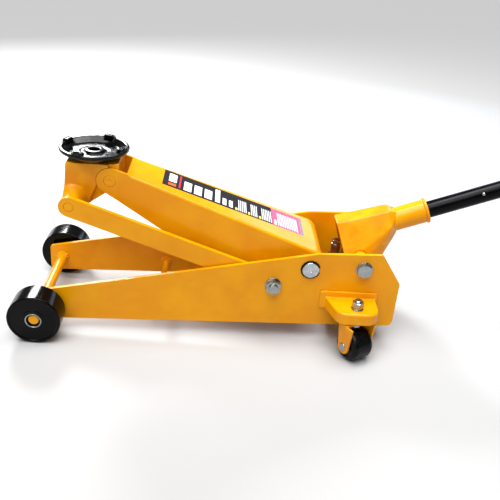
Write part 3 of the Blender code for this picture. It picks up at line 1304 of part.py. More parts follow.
def build_handle(jack, black, rubber, steel):
    """Two-piece handle tube over a stub, with its snap buttons and grip."""
    mouth = handle_frame(SOCKET_MOUTH).translation
    handle = jack.start_body("handle_axis", tuple(mouth), bpy.data.objects["socket_axis"])
    frame = handle_frame()
    start = SOCKET_MOUTH - HANDLE_FROM_MOUTH
    joint = start + LOWER_TUBE_LENGTH
    inner = HANDLE_RADIUS - HANDLE_WALL
    stub_outer = inner - GAP
    stub_inner = stub_outer - HANDLE_WALL
    end = joint + GAP + UPPER_TUBE_LENGTH
    jack.paint(black)
    lower = jack.tube("handle_tube_lower", inner, HANDLE_RADIUS, start, joint, frame, 24)
    stub = jack.tube("handle_stub", stub_inner, stub_outer, start + GAP, start + STUB_LENGTH, frame)
    upper = jack.turned("handle_tube_upper", [
        (HANDLE_RADIUS, end),
        (HANDLE_RADIUS, joint + GAP),
        (stub_outer, joint + GAP),
        (stub_outer, joint - SPIGOT_LENGTH),
        (stub_inner, joint - SPIGOT_LENGTH),
        (stub_inner, end),
    ], frame, 24, bored=True)
    jack.paint(rubber)
    grip = HANDLE_RADIUS + GAP + GRIP_WALL
    jack.turned("handle_grip", [
        (0.0, end + GRIP_END),
        (grip - GRIP_WALL, end + GRIP_END),
        (grip, end + GRIP_END - GRIP_WALL),
        (grip, end - GRIP_LENGTH),
        (HANDLE_RADIUS + GAP, end - GRIP_LENGTH),
        (HANDLE_RADIUS + GAP, end + GAP),
        (0.0, end + GAP),
    ], frame, 24)
    places = {"lower": (SOCKET_MOUTH + BUTTON_FROM_MOUTH, (lower, stub)),
              "upper": (joint - SPIGOT_LENGTH / 2, (lower, upper))}
    for name, (along, walls) in places.items():
        out = Vector((0.0, -math.cos(BUTTON_TILT), 0.0))
        out += Vector((-math.sin(HANDLE_RISE), 0.0, math.cos(HANDLE_RISE))) * math.sin(BUTTON_TILT)
        line = Matrix.Translation(handle_frame(along).translation) @ facing(out)
        jack.body = handle
        for wall in walls:
            hole = jack.rod(
                f"{wall.name}_{name}_hole", BUTTON_RADIUS + RUN, stub_inner / 2,
                HANDLE_RADIUS + OVERSHOOT, line, 16, cutter=True,
            )
            jack.combine(wall, hole, "DIFFERENCE")
        top = HANDLE_RADIUS + BUTTON_PROUD
        jack.start_body(f"snap_button_{name}_axis", tuple(line.translation), handle)
        jack.paint(steel)
        jack.turned(f"snap_button_{name}", [
            (0.0, top),
            (BUTTON_RADIUS * 0.6, top - BUTTON_RADIUS * 0.12),
            (BUTTON_RADIUS * 0.9, top - BUTTON_RADIUS * 0.4),
            (BUTTON_RADIUS, top - BUTTON_RADIUS * 0.8),
            (BUTTON_RADIUS, top - BUTTON_LENGTH),
            (0.0, top - BUTTON_LENGTH),
        ], line, 16)


def place_origin(jack):
    """Move the whole jack so that its origin is the middle of its footprint."""
    tip = handle_frame(HANDLE_END).translation.x
    low = -WHEEL_RADIUS
    high = tip + (HANDLE_RADIUS + GAP) * math.sin(HANDLE_RISE)
    jack.origin.location.x = -(low + high) / 2


def main():
    """Build every part of the jack."""
    clear_scene()
    jack = Jack()
    yellow = new_material("yellow_paint", (0.80, 0.36, 0.02), 0.32)
    black = new_material("black_nylon", (0.008, 0.008, 0.009), 0.25)
    iron = new_material("black_cast_iron", (0.01, 0.01, 0.011), 0.35)
    enamel = new_material("black_enamel", (0.006, 0.006, 0.007), 0.22)
    rubber = new_material("grip_rubber", (0.012, 0.012, 0.012), 0.7)
    steel = new_material("zinc_steel", (0.45, 0.47, 0.48), 0.35, 1.0)
    bright = new_material("ground_steel", (0.55, 0.56, 0.58), 0.2, 1.0)
    cast = new_material("unit_casting", (0.25, 0.11, 0.01), 0.5)

    jack.paint(yellow)
    build_side_plates(jack)
    build_front_axle(jack)
    build_tie_rod(jack)
    for name, side in SIDES.items():
        build_caster_mounts(jack, name, side, steel)
    jack.paint(bright)
    build_lift_shaft(jack)
    jack.paint(steel)
    build_link_bolts(jack)
    build_socket_bolts(jack)
    build_power_unit(jack, yellow, cast, steel)
    build_front_wheels(jack, black, steel)
    build_casters(jack, yellow, black, steel)
    build_lift_arm(jack, yellow, bright)
    build_ram(jack, bright)
    build_links(jack, yellow, steel)
    build_saddle_head(jack, yellow)
    build_saddle(jack, iron, steel)
    build_socket(jack, yellow, steel)
    build_plunger(jack, bright, steel)
    build_release_valve(jack, steel)
    build_handle(jack, enamel, rubber, bright)
    place_origin(jack)


main()
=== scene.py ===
"""Looks of a hydraulic trolley jack: fine meshes, finishes, studio and camera.

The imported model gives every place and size.  Each sub-assembly is a class that makes finer
pieces for its nodes, lets them ride on the same bodies, and names the finish they wear.
"""

from __future__ import annotations

import json
import logging
import math
from dataclasses import dataclass, field
from enum import Enum
from typing import Callable, Iterable, Sequence

import bmesh
import bpy
from mathutils import Matrix, Vector, noise

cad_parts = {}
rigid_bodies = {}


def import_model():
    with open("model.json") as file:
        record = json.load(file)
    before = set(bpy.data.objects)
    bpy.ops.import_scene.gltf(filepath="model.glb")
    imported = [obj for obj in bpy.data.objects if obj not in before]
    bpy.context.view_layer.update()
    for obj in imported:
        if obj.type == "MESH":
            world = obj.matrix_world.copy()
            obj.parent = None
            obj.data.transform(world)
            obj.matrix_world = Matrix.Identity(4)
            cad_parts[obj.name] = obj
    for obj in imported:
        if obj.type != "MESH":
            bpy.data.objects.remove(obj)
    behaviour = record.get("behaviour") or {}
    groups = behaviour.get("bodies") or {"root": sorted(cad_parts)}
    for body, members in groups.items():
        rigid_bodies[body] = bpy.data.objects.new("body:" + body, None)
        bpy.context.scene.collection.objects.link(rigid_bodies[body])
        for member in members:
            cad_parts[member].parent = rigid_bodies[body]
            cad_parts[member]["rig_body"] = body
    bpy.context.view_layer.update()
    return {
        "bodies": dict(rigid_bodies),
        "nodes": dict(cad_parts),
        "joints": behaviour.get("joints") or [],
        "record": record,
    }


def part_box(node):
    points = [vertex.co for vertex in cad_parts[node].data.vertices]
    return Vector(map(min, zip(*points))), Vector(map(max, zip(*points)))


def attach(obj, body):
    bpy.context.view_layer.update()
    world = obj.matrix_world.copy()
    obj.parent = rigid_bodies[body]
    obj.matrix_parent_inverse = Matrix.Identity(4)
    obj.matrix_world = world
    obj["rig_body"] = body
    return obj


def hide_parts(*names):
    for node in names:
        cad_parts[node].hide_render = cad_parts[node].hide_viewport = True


LOG = logging.getLogger("trolley_jack")
MM = 0.001
SIDES = {"left": -1.0, "right": 1.0}
UNIT = Matrix.Identity(4)
ACROSS = (0.0, 1.0, 0.0)           # from the left plate to the right one
EDGE = "edge"                     # face attribute: 1 on rounded edges, where paint wears first
SMOOTH_ANGLE = math.radians(32.0)
Outline = Sequence[tuple[float, float]]
Corners = Sequence[tuple[float, float, float]]    # radius, height and rounding of each
Block = tuple[float, float, float, float]


# --- Nodes and finishes ------------------------------------------------------------------

def linear(code: str) -> tuple[float, float, float, float]:
    """Turn an sRGB hex colour into a linear one.

    Args:
        code: Six hex digits after a hash mark.

    Returns:
        Linear red, green, blue and an alpha of one.
    """
    channels = [int(code[i:i + 2], 16) / 255.0 for i in (1, 3, 5)]
    red, green, blue = (
        c / 12.92 if c <= 0.04045 else ((c + 0.055) / 1.055) ** 2.4 for c in channels
    )
    return red, green, blue, 1.0


def add_node(
    tree: bpy.types.NodeTree, kind: str, settings: dict[str, object], links: dict[object, object]
) -> bpy.types.Node:
    """Add a node with its settings, socket values and links.

    Args:
        tree: Node tree that takes the node.
        kind: Blender's identifier of the node.
        settings: Attributes of the node.
        links: Input sockets by name or number, each with a value or an output socket.

    Returns:
        The new node.
    """
    node = tree.nodes.new(kind)
    for name, value in settings.items():
        setattr(node, name, value)
    for socket, value in links.items():
        if isinstance(value, bpy.types.NodeSocket):
            tree.links.new(value, node.inputs[socket])
        else:
            node.inputs[socket].default_value = value
    return node


class Grain(Enum):
    """How a surface was made, which sets the way that its fine marks run."""

    EVEN = (1.0, 1.0, 1.0)
    TURNED = (1.0, 14.0, 1.0)


@dataclass(frozen=True)
class Finish:
    """One real surface.  Sizes and heights are in millimetres, colours in sRGB hex."""

    name: str
    slot: str
    colour: str
    cloud: str
    cloud_size: float = 45.0
    cloud_share: float = 0.5
    metallic: float = 0.0
    rough: tuple[float, float] = (0.25, 0.4)
    rough_size: float = 12.0
    coat: float = 0.0
    coat_rough: float = 0.05
    sheen: float = 0.0
    specular: float = 0.5
    bumps: tuple[tuple[float, float], ...] = ((1.2, 0.02),)
    grain: Grain = Grain.EVEN
    soil: str = "#3a2a14"
    soil_size: float = 1.6
    soil_from: float = 0.74
    wear: str = ""
    wear_size: float = 2.2
    wear_from: float = 0.56

    def pattern(
        self, tree: bpy.types.NodeTree, coords: bpy.types.NodeSocket, size: float, detail: float = 3.0
    ) -> bpy.types.NodeSocket:
        """Noise whose lumps are about a size in millimetres, from 0 to 1."""
        node = add_node(
            tree, "ShaderNodeTexNoise", {"noise_dimensions": "3D"},
            {"Vector": coords, "Scale": 1.0 / (size * MM), "Detail": detail, "Roughness": 0.55},
        )
        return node.outputs["Fac"]

    def span(
        self, tree: bpy.types.NodeTree, value: bpy.types.NodeSocket, low: float, high: float,
        to: tuple[float, float] = (0.0, 1.0),
    ) -> bpy.types.NodeSocket:
        """Map a range of a value smoothly to another range."""
        node = add_node(
            tree, "ShaderNodeMapRange", {"interpolation_type": "SMOOTHSTEP"},
            {"Value": value, "From Min": low, "From Max": high, "To Min": to[0], "To Max": to[1]},
        )
        return node.outputs["Result"]

    def blend(
        self, tree: bpy.types.NodeTree, share: bpy.types.NodeSocket, first: object, second: object
    ) -> bpy.types.NodeSocket:
        """Mix two colours by a share."""
        node = add_node(
            tree, "ShaderNodeMix", {"data_type": "RGBA"}, {"Factor": share, 6: first, 7: second}
        )
        return node.outputs[2]

    def material(self) -> bpy.types.Material:
        """Build the finish's material once.

        Returns:
            The node material.
        """
        made = bpy.data.materials.get(self.name)
        if made:
            return made
        made = bpy.data.materials.new(self.name)
        made.use_nodes = True
        tree = made.node_tree
        shader = tree.nodes["Principled BSDF"]
        coords = add_node(tree, "ShaderNodeTexCoord", {}, {}).outputs["Object"]
        marks = add_node(
            tree, "ShaderNodeMapping", {}, {"Vector": coords, "Scale": self.grain.value}
        ).outputs["Vector"]

        cloud = self.span(tree, self.pattern(tree, coords, self.cloud_size), 0.35, 0.65,
                          (0.0, self.cloud_share))
        colour = self.blend(tree, cloud, linear(self.colour), linear(self.cloud))
        soil = self.span(tree, self.pattern(tree, coords, self.soil_size, 6.0),
                         self.soil_from, self.soil_from + 0.06)
        colour = self.blend(tree, soil, colour, linear(self.soil))
        rough = self.span(tree, self.pattern(tree, marks, self.rough_size), 0.3, 0.7, self.rough)
        if self.wear:
            edge = add_node(tree, "ShaderNodeAttribute", {"attribute_name": EDGE}, {})
            spots = self.span(tree, self.pattern(tree, coords, self.wear_size, 5.0),
                              self.wear_from, self.wear_from + 0.04)
            worn = add_node(tree, "ShaderNodeMath", {"operation": "MULTIPLY"},
                            {0: spots, 1: edge.outputs["Fac"]}).outputs[0]
            colour = self.blend(tree, worn, colour, linear(self.wear))
        tree.links.new(colour, shader.inputs["Base Color"])
        tree.links.new(rough, shader.inputs["Roughness"])
        normal: object = None
        for size, height in self.bumps:
            links = {"Height": self.pattern(tree, marks, size, 2.0), "Distance": height * MM,
                     "Strength": 1.0}
            if normal is not None:
                links["Normal"] = normal
            normal = add_node(tree, "ShaderNodeBump", {}, links).outputs["Normal"]
        tree.links.new(normal, shader.inputs["Normal"])
        shader.inputs["Metallic"].default_value = self.metallic
        shader.inputs["Coat Weight"].default_value = self.coat
        shader.inputs["Coat Roughness"].default_value = self.coat_rough
        shader.inputs["Sheen Weight"].default_value = self.sheen
        if not self.metallic:
            shader.inputs["Specular IOR Level"].default_value = self.specular
        return made


# Stoved gloss enamel sprayed on welded plate: wet highlights, orange peel, chipped corners.
ENAMEL = Finish(
    "yellow stoving enamel", "yellow_enamel", "#e59b00", "#dc8c00", 70.0, 0.8,
    rough=(0.28, 0.38), rough_size=18.0, coat=0.14, coat_rough=0.07, specular=0.16,
    bumps=((2.2, 0.030), (0.9, 0.012)), soil="#6b3c08", soil_from=0.76,
    wear="#7a4a12", wear_from=0.60,
)
# The same enamel on a rough pressing and its welds: thicker, with a broader ripple.
ENAMEL_CAST = Finish(
    "yellow enamel on casting", "yellow_enamel", "#e29800", "#d68200", 30.0, 0.8,
    rough=(0.28, 0.42), rough_size=10.0, coat=0.16, coat_rough=0.08, specular=0.16,
    bumps=((6.0, 0.16), (1.4, 0.035)), soil="#6b3c08", soil_from=0.73,
)
# Dull primer-like paint on a sand casting, soiled with hydraulic oil.
UNIT_PAINT = Finish(
    "enamel on sand casting", "unit_casting", "#7c4309", "#4e2a08", 22.0, 0.9,
    rough=(0.35, 0.6), bumps=((2.4, 0.12), (0.8, 0.05)), soil="#1d1208", soil_from=0.62,
)
# Bright zinc plate: satin grey metal, a little cloudy, grime in the corners.
ZINC = Finish(
    "bright zinc plate", "zinc_steel", "#a2a6a6", "#8c9192", 9.0, 0.4, metallic=1.0,
    rough=(0.20, 0.32), rough_size=6.0, bumps=((1.2, 0.006),), soil="#5a574c", soil_from=0.80,
)
# Turned and ground steel: fine rings and a clear highlight.
GROUND = Finish(
    "ground steel", "ground_steel", "#c0c6ca", "#9ca4aa", 9.0, 0.6, metallic=1.0,
    rough=(0.16, 0.3), rough_size=3.0, bumps=((0.9, 0.006),), grain=Grain.TURNED,
    soil="#5c5f60", soil_from=0.68,
)
# Oil-blacked spring steel: dark, with a brown sheen where the oil has dried.
OXIDE = Finish(
    "black oxide", "black_oxide", "#26241f", "#3a342a", 5.0, 0.6, metallic=1.0,
    rough=(0.32, 0.5), rough_size=2.0, bumps=((0.7, 0.01),), soil="#14110c",
)
# Hard-drawn spring wire: grey with streaks along the wire.
WIRE = Finish(
    "hard-drawn spring wire", "spring_steel", "#7d7a72", "#55524b", 4.0, 0.6, metallic=1.0,
    rough=(0.28, 0.45), rough_size=2.0, bumps=((0.6, 0.008),), soil="#2b2822",
)
# Moulded nylon, polished by the mould: deep black, sharp highlight, faint scuffs and dust.
NYLON = Finish(
    "moulded black nylon", "black_nylon", "#030303", "#070607", 26.0, 0.6,
    rough=(0.11, 0.20), rough_size=9.0, specular=0.12,
    bumps=((5.0, 0.012), (0.9, 0.003)), soil="#2b2824", soil_size=0.9, soil_from=0.82,
)
# Caster tread: the same nylon run over grit, so greyer and duller.
TREAD = Finish(
    "scuffed nylon tread", "caster_tread", "#040404", "#0a0a09", 8.0, 0.7,
    rough=(0.22, 0.4), rough_size=4.0, specular=0.14, bumps=((2.4, 0.03), (0.8, 0.015)),
    soil="#5a554c", soil_size=1.4, soil_from=0.74,
)
# Thick gloss black over a sand casting: wet blobs of light on a lumpy skin.
IRON = Finish(
    "black gloss on cast iron", "black_iron", "#040406", "#08080c", 16.0, 0.6,
    rough=(0.14, 0.24), rough_size=8.0, coat=0.08, coat_rough=0.05, specular=0.2,
    bumps=((16.0, 0.22), (5.0, 0.03), (1.0, 0.005)), soil="#2a2a2a", soil_size=1.2, soil_from=0.84,
)
# Powder-coated handle tube: black with a long soft highlight and a fine peel.
TUBE_BLACK = Finish(
    "black powder coat", "black_enamel", "#040305", "#08070b", 40.0, 0.6,
    rough=(0.17, 0.26), rough_size=14.0, specular=0.09,
    bumps=((1.3, 0.008),), soil="#46423c", soil_from=0.82, wear="#6e6a64", wear_from=0.62,
)
# Moulded rubber grip: matt black with dust in its grain.
RUBBER = Finish(
    "moulded rubber grip", "grip_rubber", "#111010", "#1a1917", 20.0, 0.7,
    rough=(0.6, 0.78), rough_size=5.0, sheen=0.2, bumps=((1.0, 0.05),),
    soil="#4c463d", soil_from=0.70,
)


def film(name: str, colour: str, cloud: str) -> Finish:
    """A printed vinyl film: flat colour, low gloss, slightly rippled by the paint below."""
    return Finish(
        name, "yellow_enamel", colour, cloud, 14.0, 0.6, rough=(0.5, 0.62), rough_size=8.0,
        specular=0.22, bumps=((4.0, 0.02),), soil="#57503f", soil_from=0.84,
    )


class Ink(Enum):
    """Colours printed on the label."""

    BLACK = film("label film black", "#0e0d12", "#17151c")
    WHITE = film("label film white", "#f1f0ee", "#dcdce2")
    GREY = film("label film grey", "#7f8296", "#6d7084")
    RED = film("label film red", "#cf2a3c", "#b8283c")
    PINK = film("label film pink", "#ef5a7c", "#e24a6e")
    ORANGE = film("label film orange", "#e8632a", "#d4531f")
    LEMON = film("label film lemon", "#e8e05a", "#d8cf44")


# --- Mesh helpers --------------------------------------------------------------------------

def along(direction: Sequence[float], at: Sequence[float]) -> Matrix:
    """Frame at a point whose +Z runs in a direction."""
    turn = Vector((0.0, 0.0, 1.0)).rotation_difference(Vector(direction))
    return Matrix.Translation(at) @ turn.to_matrix().to_4x4()


def middle_of(node: str) -> Vector:
    """Middle of a node's box."""
    low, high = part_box(node)
    return (low + high) / 2


def size_of(node: str) -> Vector:
    """Size of a node's box."""
    low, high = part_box(node)
    return high - low


def fillet(corners: Corners, steps: int = 6) -> list[tuple[float, float]]:
    """Round the corners of an open profile.

    Args:
        corners: Points with a radius each; the first and last are kept as they are.
        steps: Straight pieces in each rounded corner.

    Returns:
        The points of the rounded profile.
    """
    points = [corners[0][:2]]
    for before, corner, after in zip(corners, corners[1:], corners[2:]):
        at = Vector(corner[:2])
        back = (Vector(before[:2]) - at).normalized()
        ahead = (Vector(after[:2]) - at).normalized()
        half = back.angle(ahead, math.pi) / 2
        if corner[2] <= 0.0 or half > math.radians(89.0):
            points.append(tuple(at))
            continue
        hub = at + (back + ahead).normalized() * corner[2] / math.sin(half)
        start = at + back * corner[2] / math.tan(half) - hub
        sweep = start.angle_signed(at + ahead * corner[2] / math.tan(half) - hub)
        for step in range(steps + 1):
            spoke = start.copy()
            spoke.rotate(Matrix.Rotation(-sweep * step / steps, 2))
            points.append(tuple(hub + spoke))
    points.append(corners[-1][:2])
    return points


def mirrored(half: Corners) -> list[tuple[float, float, float]]:
    """A half profile from the middle outward, followed by its mirror image."""
    return [*half, *((radius, -height, turn) for radius, height, turn in reversed(half))]


def spun(
    profile: Outline, frame: Matrix = UNIT, steps: int = 96, bored: bool = False,
    sweep: float = math.tau,
) -> bmesh.types.BMesh:
    """Spin a profile about a frame's Z axis.

    Args:
        profile: Points (radius, height) down the outer side, all in metres.
        frame: Place of the axis.
        steps: Faces round the full turn.
        bored: Whether the profile closes on itself, as round a bore.
        sweep: Angle of the turn.

    Returns:
        The spun mesh.
    """
    work = bmesh.new()
    verts = [work.verts.new((radius, 0.0, height)) for radius, height in profile]
    edges = [work.edges.new(pair) for pair in zip(verts, verts[1:])]
    if bored:
        edges.append(work.edges.new((verts[-1], verts[0])))
    full = abs(sweep - math.tau) < 1e-6
    if not full:
        section = work.faces.new(verts)
        geometry = [section, *edges, *verts]
    else:
        geometry = [*edges, *verts]
    bmesh.ops.spin(
        work, geom=geometry, axis=(0.0, 0.0, 1.0), cent=(0.0, 0.0, 0.0), angle=sweep,
        steps=steps, use_merge=full, use_duplicate=not full,
    )
    bmesh.ops.remove_doubles(work, verts=work.verts, dist=0.001 * MM)
    bmesh.ops.recalc_face_normals(work, faces=work.faces)
    bmesh.ops.transform(work, matrix=frame, verts=work.verts)
    return work


def joined(*parts: bmesh.types.BMesh) -> bmesh.types.BMesh:
    """Put several meshes in one and free them."""
    whole = bmesh.new()
    for part in parts:
        carrier = bpy.data.meshes.new("carrier")
        part.to_mesh(carrier)
        part.free()
        whole.from_mesh(carrier)
        bpy.data.meshes.remove(carrier)
    return whole


def copy_of(node: str) -> bmesh.types.BMesh:
    """A merged copy of a node's mesh, with its flat areas made whole."""
    work = bmesh.new()
    work.from_mesh(bpy.data.objects[node].data)
    bmesh.ops.remove_doubles(work, verts=work.verts, dist=0.005 * MM)
    bmesh.ops.dissolve_limit(
        work, angle_limit=math.radians(0.6), verts=work.verts, edges=work.edges
    )
    return work


def soften(
    work: bmesh.types.BMesh, width: float, segments: int = 2,
    pick: Callable[[bmesh.types.BMEdge], bool] | None = None, clamp: bool = True,
) -> bmesh.types.BMesh:
    """Round the sharp edges of a mesh, and mark the new faces as edges.

    Args:
        work: Mesh to change.
        width: Width of the rounding in metres.
        segments: Faces across each rounding.
        pick: Test that an edge has to pass, or None for all the sharp ones.
        clamp: Whether the width shrinks where there is no room.

    Returns:
        The same mesh.
    """
    layer = work.faces.layers.float.get(EDGE) or work.faces.layers.float.new(EDGE)
    edges = [
        edge for edge in work.edges
        if len(edge.link_faces) == 2 and edge.calc_face_angle(0.0) > SMOOTH_ANGLE
        and (pick is None or pick(edge))
    ]
    made = bmesh.ops.bevel(
        work, geom=edges, offset=width, offset_type="OFFSET", segments=segments, profile=0.5,
        affect="EDGES", clamp_overlap=clamp, material=-1,
    )
    for face in made["faces"]:
        face[layer] = 1.0
    return work


def hexagon_head(
    flats: float, low: float, high: float, bore: float = 0.0, frame: Matrix = UNIT
) -> bmesh.types.BMesh:
    """Hexagon cut from a chamfered round, as bolt heads and nuts are.

    Args:
        flats: Width across flats.
        low: Height of the lower face.
        high: Height of the upper face.
        bore: Radius of the hole, or 0 for none.
        frame: Place of its axis.

    Returns:
        The mesh of the head.
    """
    corner = flats / math.sqrt(3.0)
    face = flats * 0.475
    drop = (corner - face) * math.tan(math.radians(30.0))
    profile = [(bore, high), (face, high), (corner, high - drop), (corner, low), (bore, low)]
    work = spun(profile, UNIT, 72, bored=bore > 0.0)
    for turn in range(6):
        normal = Vector((math.cos(turn * math.pi / 3), math.sin(turn * math.pi / 3), 0.0))
        cut = bmesh.ops.bisect_plane(
            work, geom=[*work.verts, *work.edges, *work.faces], plane_co=normal * flats / 2,
            plane_no=normal, clear_outer=True, dist=0.0001 * MM,
        )
        rim = [item for item in cut["geom_cut"] if isinstance(item, bmesh.types.BMEdge)]
        bmesh.ops.holes_fill(work, edges=rim, sides=0)
    bmesh.ops.recalc_face_normals(work, faces=work.faces)
    bmesh.ops.transform(work, matrix=frame, verts=work.verts)
    return work


def thread(
    radius: float, low: float, high: float, pitch: float = 1.25 * MM
) -> list[tuple[float, float]]:
    """Profile of a thread's rings from the top down."""
    depth = pitch * 0.5
    count = max(1, int((high - low) / pitch))
    points = [(radius - 2 * depth, high)]
    for ring in range(count):
        top = high - ring * pitch
        points += [(radius - depth, top - 0.1 * pitch), (radius, top - 0.5 * pitch)]
    return [*points, (radius - depth, high - count * pitch)]


def weld_bead(frame: Matrix, ring: float, bead: float, seed: int) -> bmesh.types.BMesh:
    """A fillet weld round a rod: a ring with the ripple of the passes.

    Args:
        frame: Axis of the rod, with the plate's face at its origin.
        ring: Radius of the ring's middle.
        bead: Radius of the bead.
        seed: Shifts the ripple, so that no two welds are alike.

    Returns:
        The mesh of the weld.
    """
    ripples = 2 * math.pi * ring / (2.2 * MM)
    section = [
        (ring + bead * math.cos(math.tau * i / 12), bead * math.sin(math.tau * i / 12))
        for i in range(12)
    ]
    work = spun(section, UNIT, 96, bored=True)
    for vert in work.verts:
        angle = math.atan2(vert.co.y, vert.co.x)
        spoke = Vector((math.cos(angle), math.sin(angle), 0.0))
        away = vert.co - spoke * ring
        lump = 0.36 * noise.noise(Vector((seed, 3.0 * math.cos(angle), 3.0 * math.sin(angle))))
        vert.co += away * (0.10 * math.cos(angle * round(ripples)) + lump)
    bmesh.ops.transform(work, matrix=frame, verts=work.verts)
    return work


@dataclass
class Bench:
    """Turns meshes into finished pieces of the jack."""

    nodes: dict[str, bpy.types.Object]
    made: int = 0

    def piece(
        self, name: str, work: bmesh.types.BMesh, finish: Finish, body: str, nodes: Iterable[str] = ()
    ) -> bpy.types.Object:
        """Make a mesh a piece with its finish, on its body.

        Args:
            name: Name of the piece.
            work: Its mesh, which is freed.
            finish: What its surface is.
            body: The body that it rides on.
            nodes: The nodes that it stands for.

        Returns:
            The new object.
        """
        mesh = bpy.data.meshes.new(name)
        work.to_mesh(mesh)
        work.free()
        mesh.shade_smooth()
        mesh.set_sharp_from_angle(angle=SMOOTH_ANGLE)
        mesh.materials.append(finish.material())
        item = bpy.data.objects.new(name, mesh)
        bpy.context.scene.collection.objects.link(item)
        even = item.modifiers.new("even shading", "WEIGHTED_NORMAL")
        even.keep_sharp = True
        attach(item, body)
        if nodes:
            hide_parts(*nodes)
        self.made += 1
        LOG.info("%s: %d faces on %s", name, len(mesh.polygons), body)
        return item

    def stand_in(
        self, node: str, work: bmesh.types.BMesh, finish: Finish, *others: str
    ) -> bpy.types.Object:
        """A finer piece in the place of a node, on the node's own body."""
        return self.piece(f"{node}_fine", work, finish, self.nodes[node]["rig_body"], (node, *others))

    def cross_rod(self, node: str, half: Corners, finish: Finish, steps: int) -> bpy.types.Object:
        """A rod across the jack.

        Args:
            node: The node that it stands for.
            half: Its profile on one side of the middle, as fillet takes it.
            finish: What its surface is.
            steps: Faces round the full turn.

        Returns:
            The new object.
        """
        frame = along(ACROSS, middle_of(node))
        return self.stand_in(node, spun(fillet(mirrored(half), 4), frame, steps), finish)

    def refine(
        self, node: str, finish: Finish, width: float = 0.6, segments: int = 2
    ) -> bpy.types.Object:
        """A copy of a node with its edges rounded by a width in millimetres."""
        return self.stand_in(node, soften(copy_of(node), width * MM, segments), finish)

    def cast(
        self, node: str, work: bmesh.types.BMesh, finish: Finish, voxel: float = 0.9, rounds: int = 6
    ) -> bpy.types.Object:
        """A piece whose corners and joints are rounded together, as in a mould or a press.

        Args:
            node: The node that it stands for.
            work: Its sharp mesh.
            finish: What its surface is.
            voxel: Size of the skin's faces in millimetres.
            rounds: How often the skin is smoothed.

        Returns:
            The new object.
        """
        item = self.stand_in(node, work, finish)
        item.modifiers.clear()
        skin = item.modifiers.new("skin", "REMESH")
        skin.mode = "VOXEL"
        skin.voxel_size = voxel * MM
        skin.use_smooth_shade = True
        relax = item.modifiers.new("relax", "SMOOTH")
        relax.factor = 0.5
        relax.iterations = rounds
        return item


# --- Sub-assemblies --------------------------------------------------------------------------

@dataclass
class Fasteners:
    """Hexagon heads, nuts and circlips in bright zinc or black oxide."""

    bench: Bench
    flats: float = 24.0 * MM
    washer: float = 14.5 * MM
    washer_height: float = 1.5 * MM
    bolt: float = 8.0 * MM

    def build(self) -> None:
        """Make the fasteners of both sides."""
        for name, side in SIDES.items():
            self.socket_bolt(name, side)
            self.link_nut(name, side)
            for clip in ("axle_circlip", "shaft_circlip"):
                self.bench.refine(f"{clip}_{name}", OXIDE, 0.2)
        self.bench.refine("saddle_circlip", OXIDE, 0.2)
        self.filler_plug()
        self.release_valve()

    def washer_face(self, radius: float, low: float, high: float, bore: float) -> bmesh.types.BMesh:
        """Round face under a head, with a soft rim."""
        edge = (high - low) * 0.3
        corners = [(bore, high, 0.0), (radius, high, edge), (radius, low, edge), (bore, low, 0.0)]
        return spun(fillet(corners, 3), UNIT, 72, bored=bore > 0.0)

    def socket_bolt(self, name: str, side: float) -> None:
        """Bolt that the handle socket turns on."""
        node = f"socket_bolt_{name}"
        low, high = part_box(node)
        outer = max(abs(low.y), abs(high.y))
        inner = min(abs(low.y), abs(high.y))
        middle = (low + high) / 2
        head = 8.5 * MM
        seat = outer - head
        frame = along((0.0, side, 0.0), (middle.x, side * seat, middle.z))
        shank = fillet([
            (0.0, 0.4 * MM, 0.0), (self.bolt, 0.4 * MM, 0.0),
            (self.bolt, inner - seat, 0.8 * MM), (0.0, inner - seat, 0.0),
        ], 3)
        parts = joined(
            hexagon_head(self.flats, self.washer_height, head),
            self.washer_face(self.washer, 0.0, self.washer_height + 0.2 * MM, 0.0),
            spun(shank, UNIT, 48),
        )
        bmesh.ops.transform(parts, matrix=frame, verts=parts.verts)
        self.bench.stand_in(node, parts, ZINC)

    def link_nut(self, name: str, side: float) -> None:
        """Bolt of a link bar with its nut outside the plate."""
        node = f"link_nut_{name}"
        low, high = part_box(node)
        middle = (low + high) / 2
        seat = min(abs(low.y), abs(high.y))
        height = abs(high.y - low.y)
        bore = self.bolt + 0.2 * MM
        frame = along((0.0, side, 0.0), (middle.x, side * seat, middle.z))
        nut = joined(
            hexagon_head(self.flats, self.washer_height, height, bore),
            self.washer_face(self.washer, 0.0, self.washer_height + 0.2 * MM, bore),
        )
        bmesh.ops.transform(nut, matrix=frame, verts=nut.verts)
        self.bench.stand_in(node, nut, ZINC)
        node = f"link_bolt_{name}"
        low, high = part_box(node)
        tip = max(abs(low.y), abs(high.y)) - seat
        root = min(abs(low.y), abs(high.y)) - seat
        head = size_of(node).x / 2
        bolt = spun([
            (0.0, tip), *thread(self.bolt, height - 2 * MM, tip),
            (self.bolt, root + 2.8 * MM), (head, root + 2.8 * MM), (head, root), (0.0, root),
        ], frame, 72)
        self.bench.stand_in(node, bolt, ZINC)

    def filler_plug(self) -> None:
        """Small hexagon plug over the reservoir."""
        low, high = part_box("filler_plug")
        middle = (low + high) / 2
        head = 9.0 * MM
        seat = high.z - head
        radius = 8.5 * MM
        shank = fillet([
            (0.0, 0.4 * MM, 0.0), (5 * MM, 0.4 * MM, 0.0),
            (5 * MM, low.z - seat, 0.6 * MM), (0.0, low.z - seat, 0.0),
        ], 3)
        plug = joined(
            hexagon_head(13.0 * MM, 1.5 * MM, head),
            self.washer_face(radius, 0.0, 1.7 * MM, 0.0), spun(shank, UNIT, 48),
        )
        bmesh.ops.translate(plug, vec=(middle.x, middle.y, seat), verts=plug.verts)
        self.bench.stand_in("filler_plug", plug, ZINC)

    def release_valve(self) -> None:
        """Spindle at the back of the pump block."""
        self.bench.refine("release_valve", ZINC, 0.4)


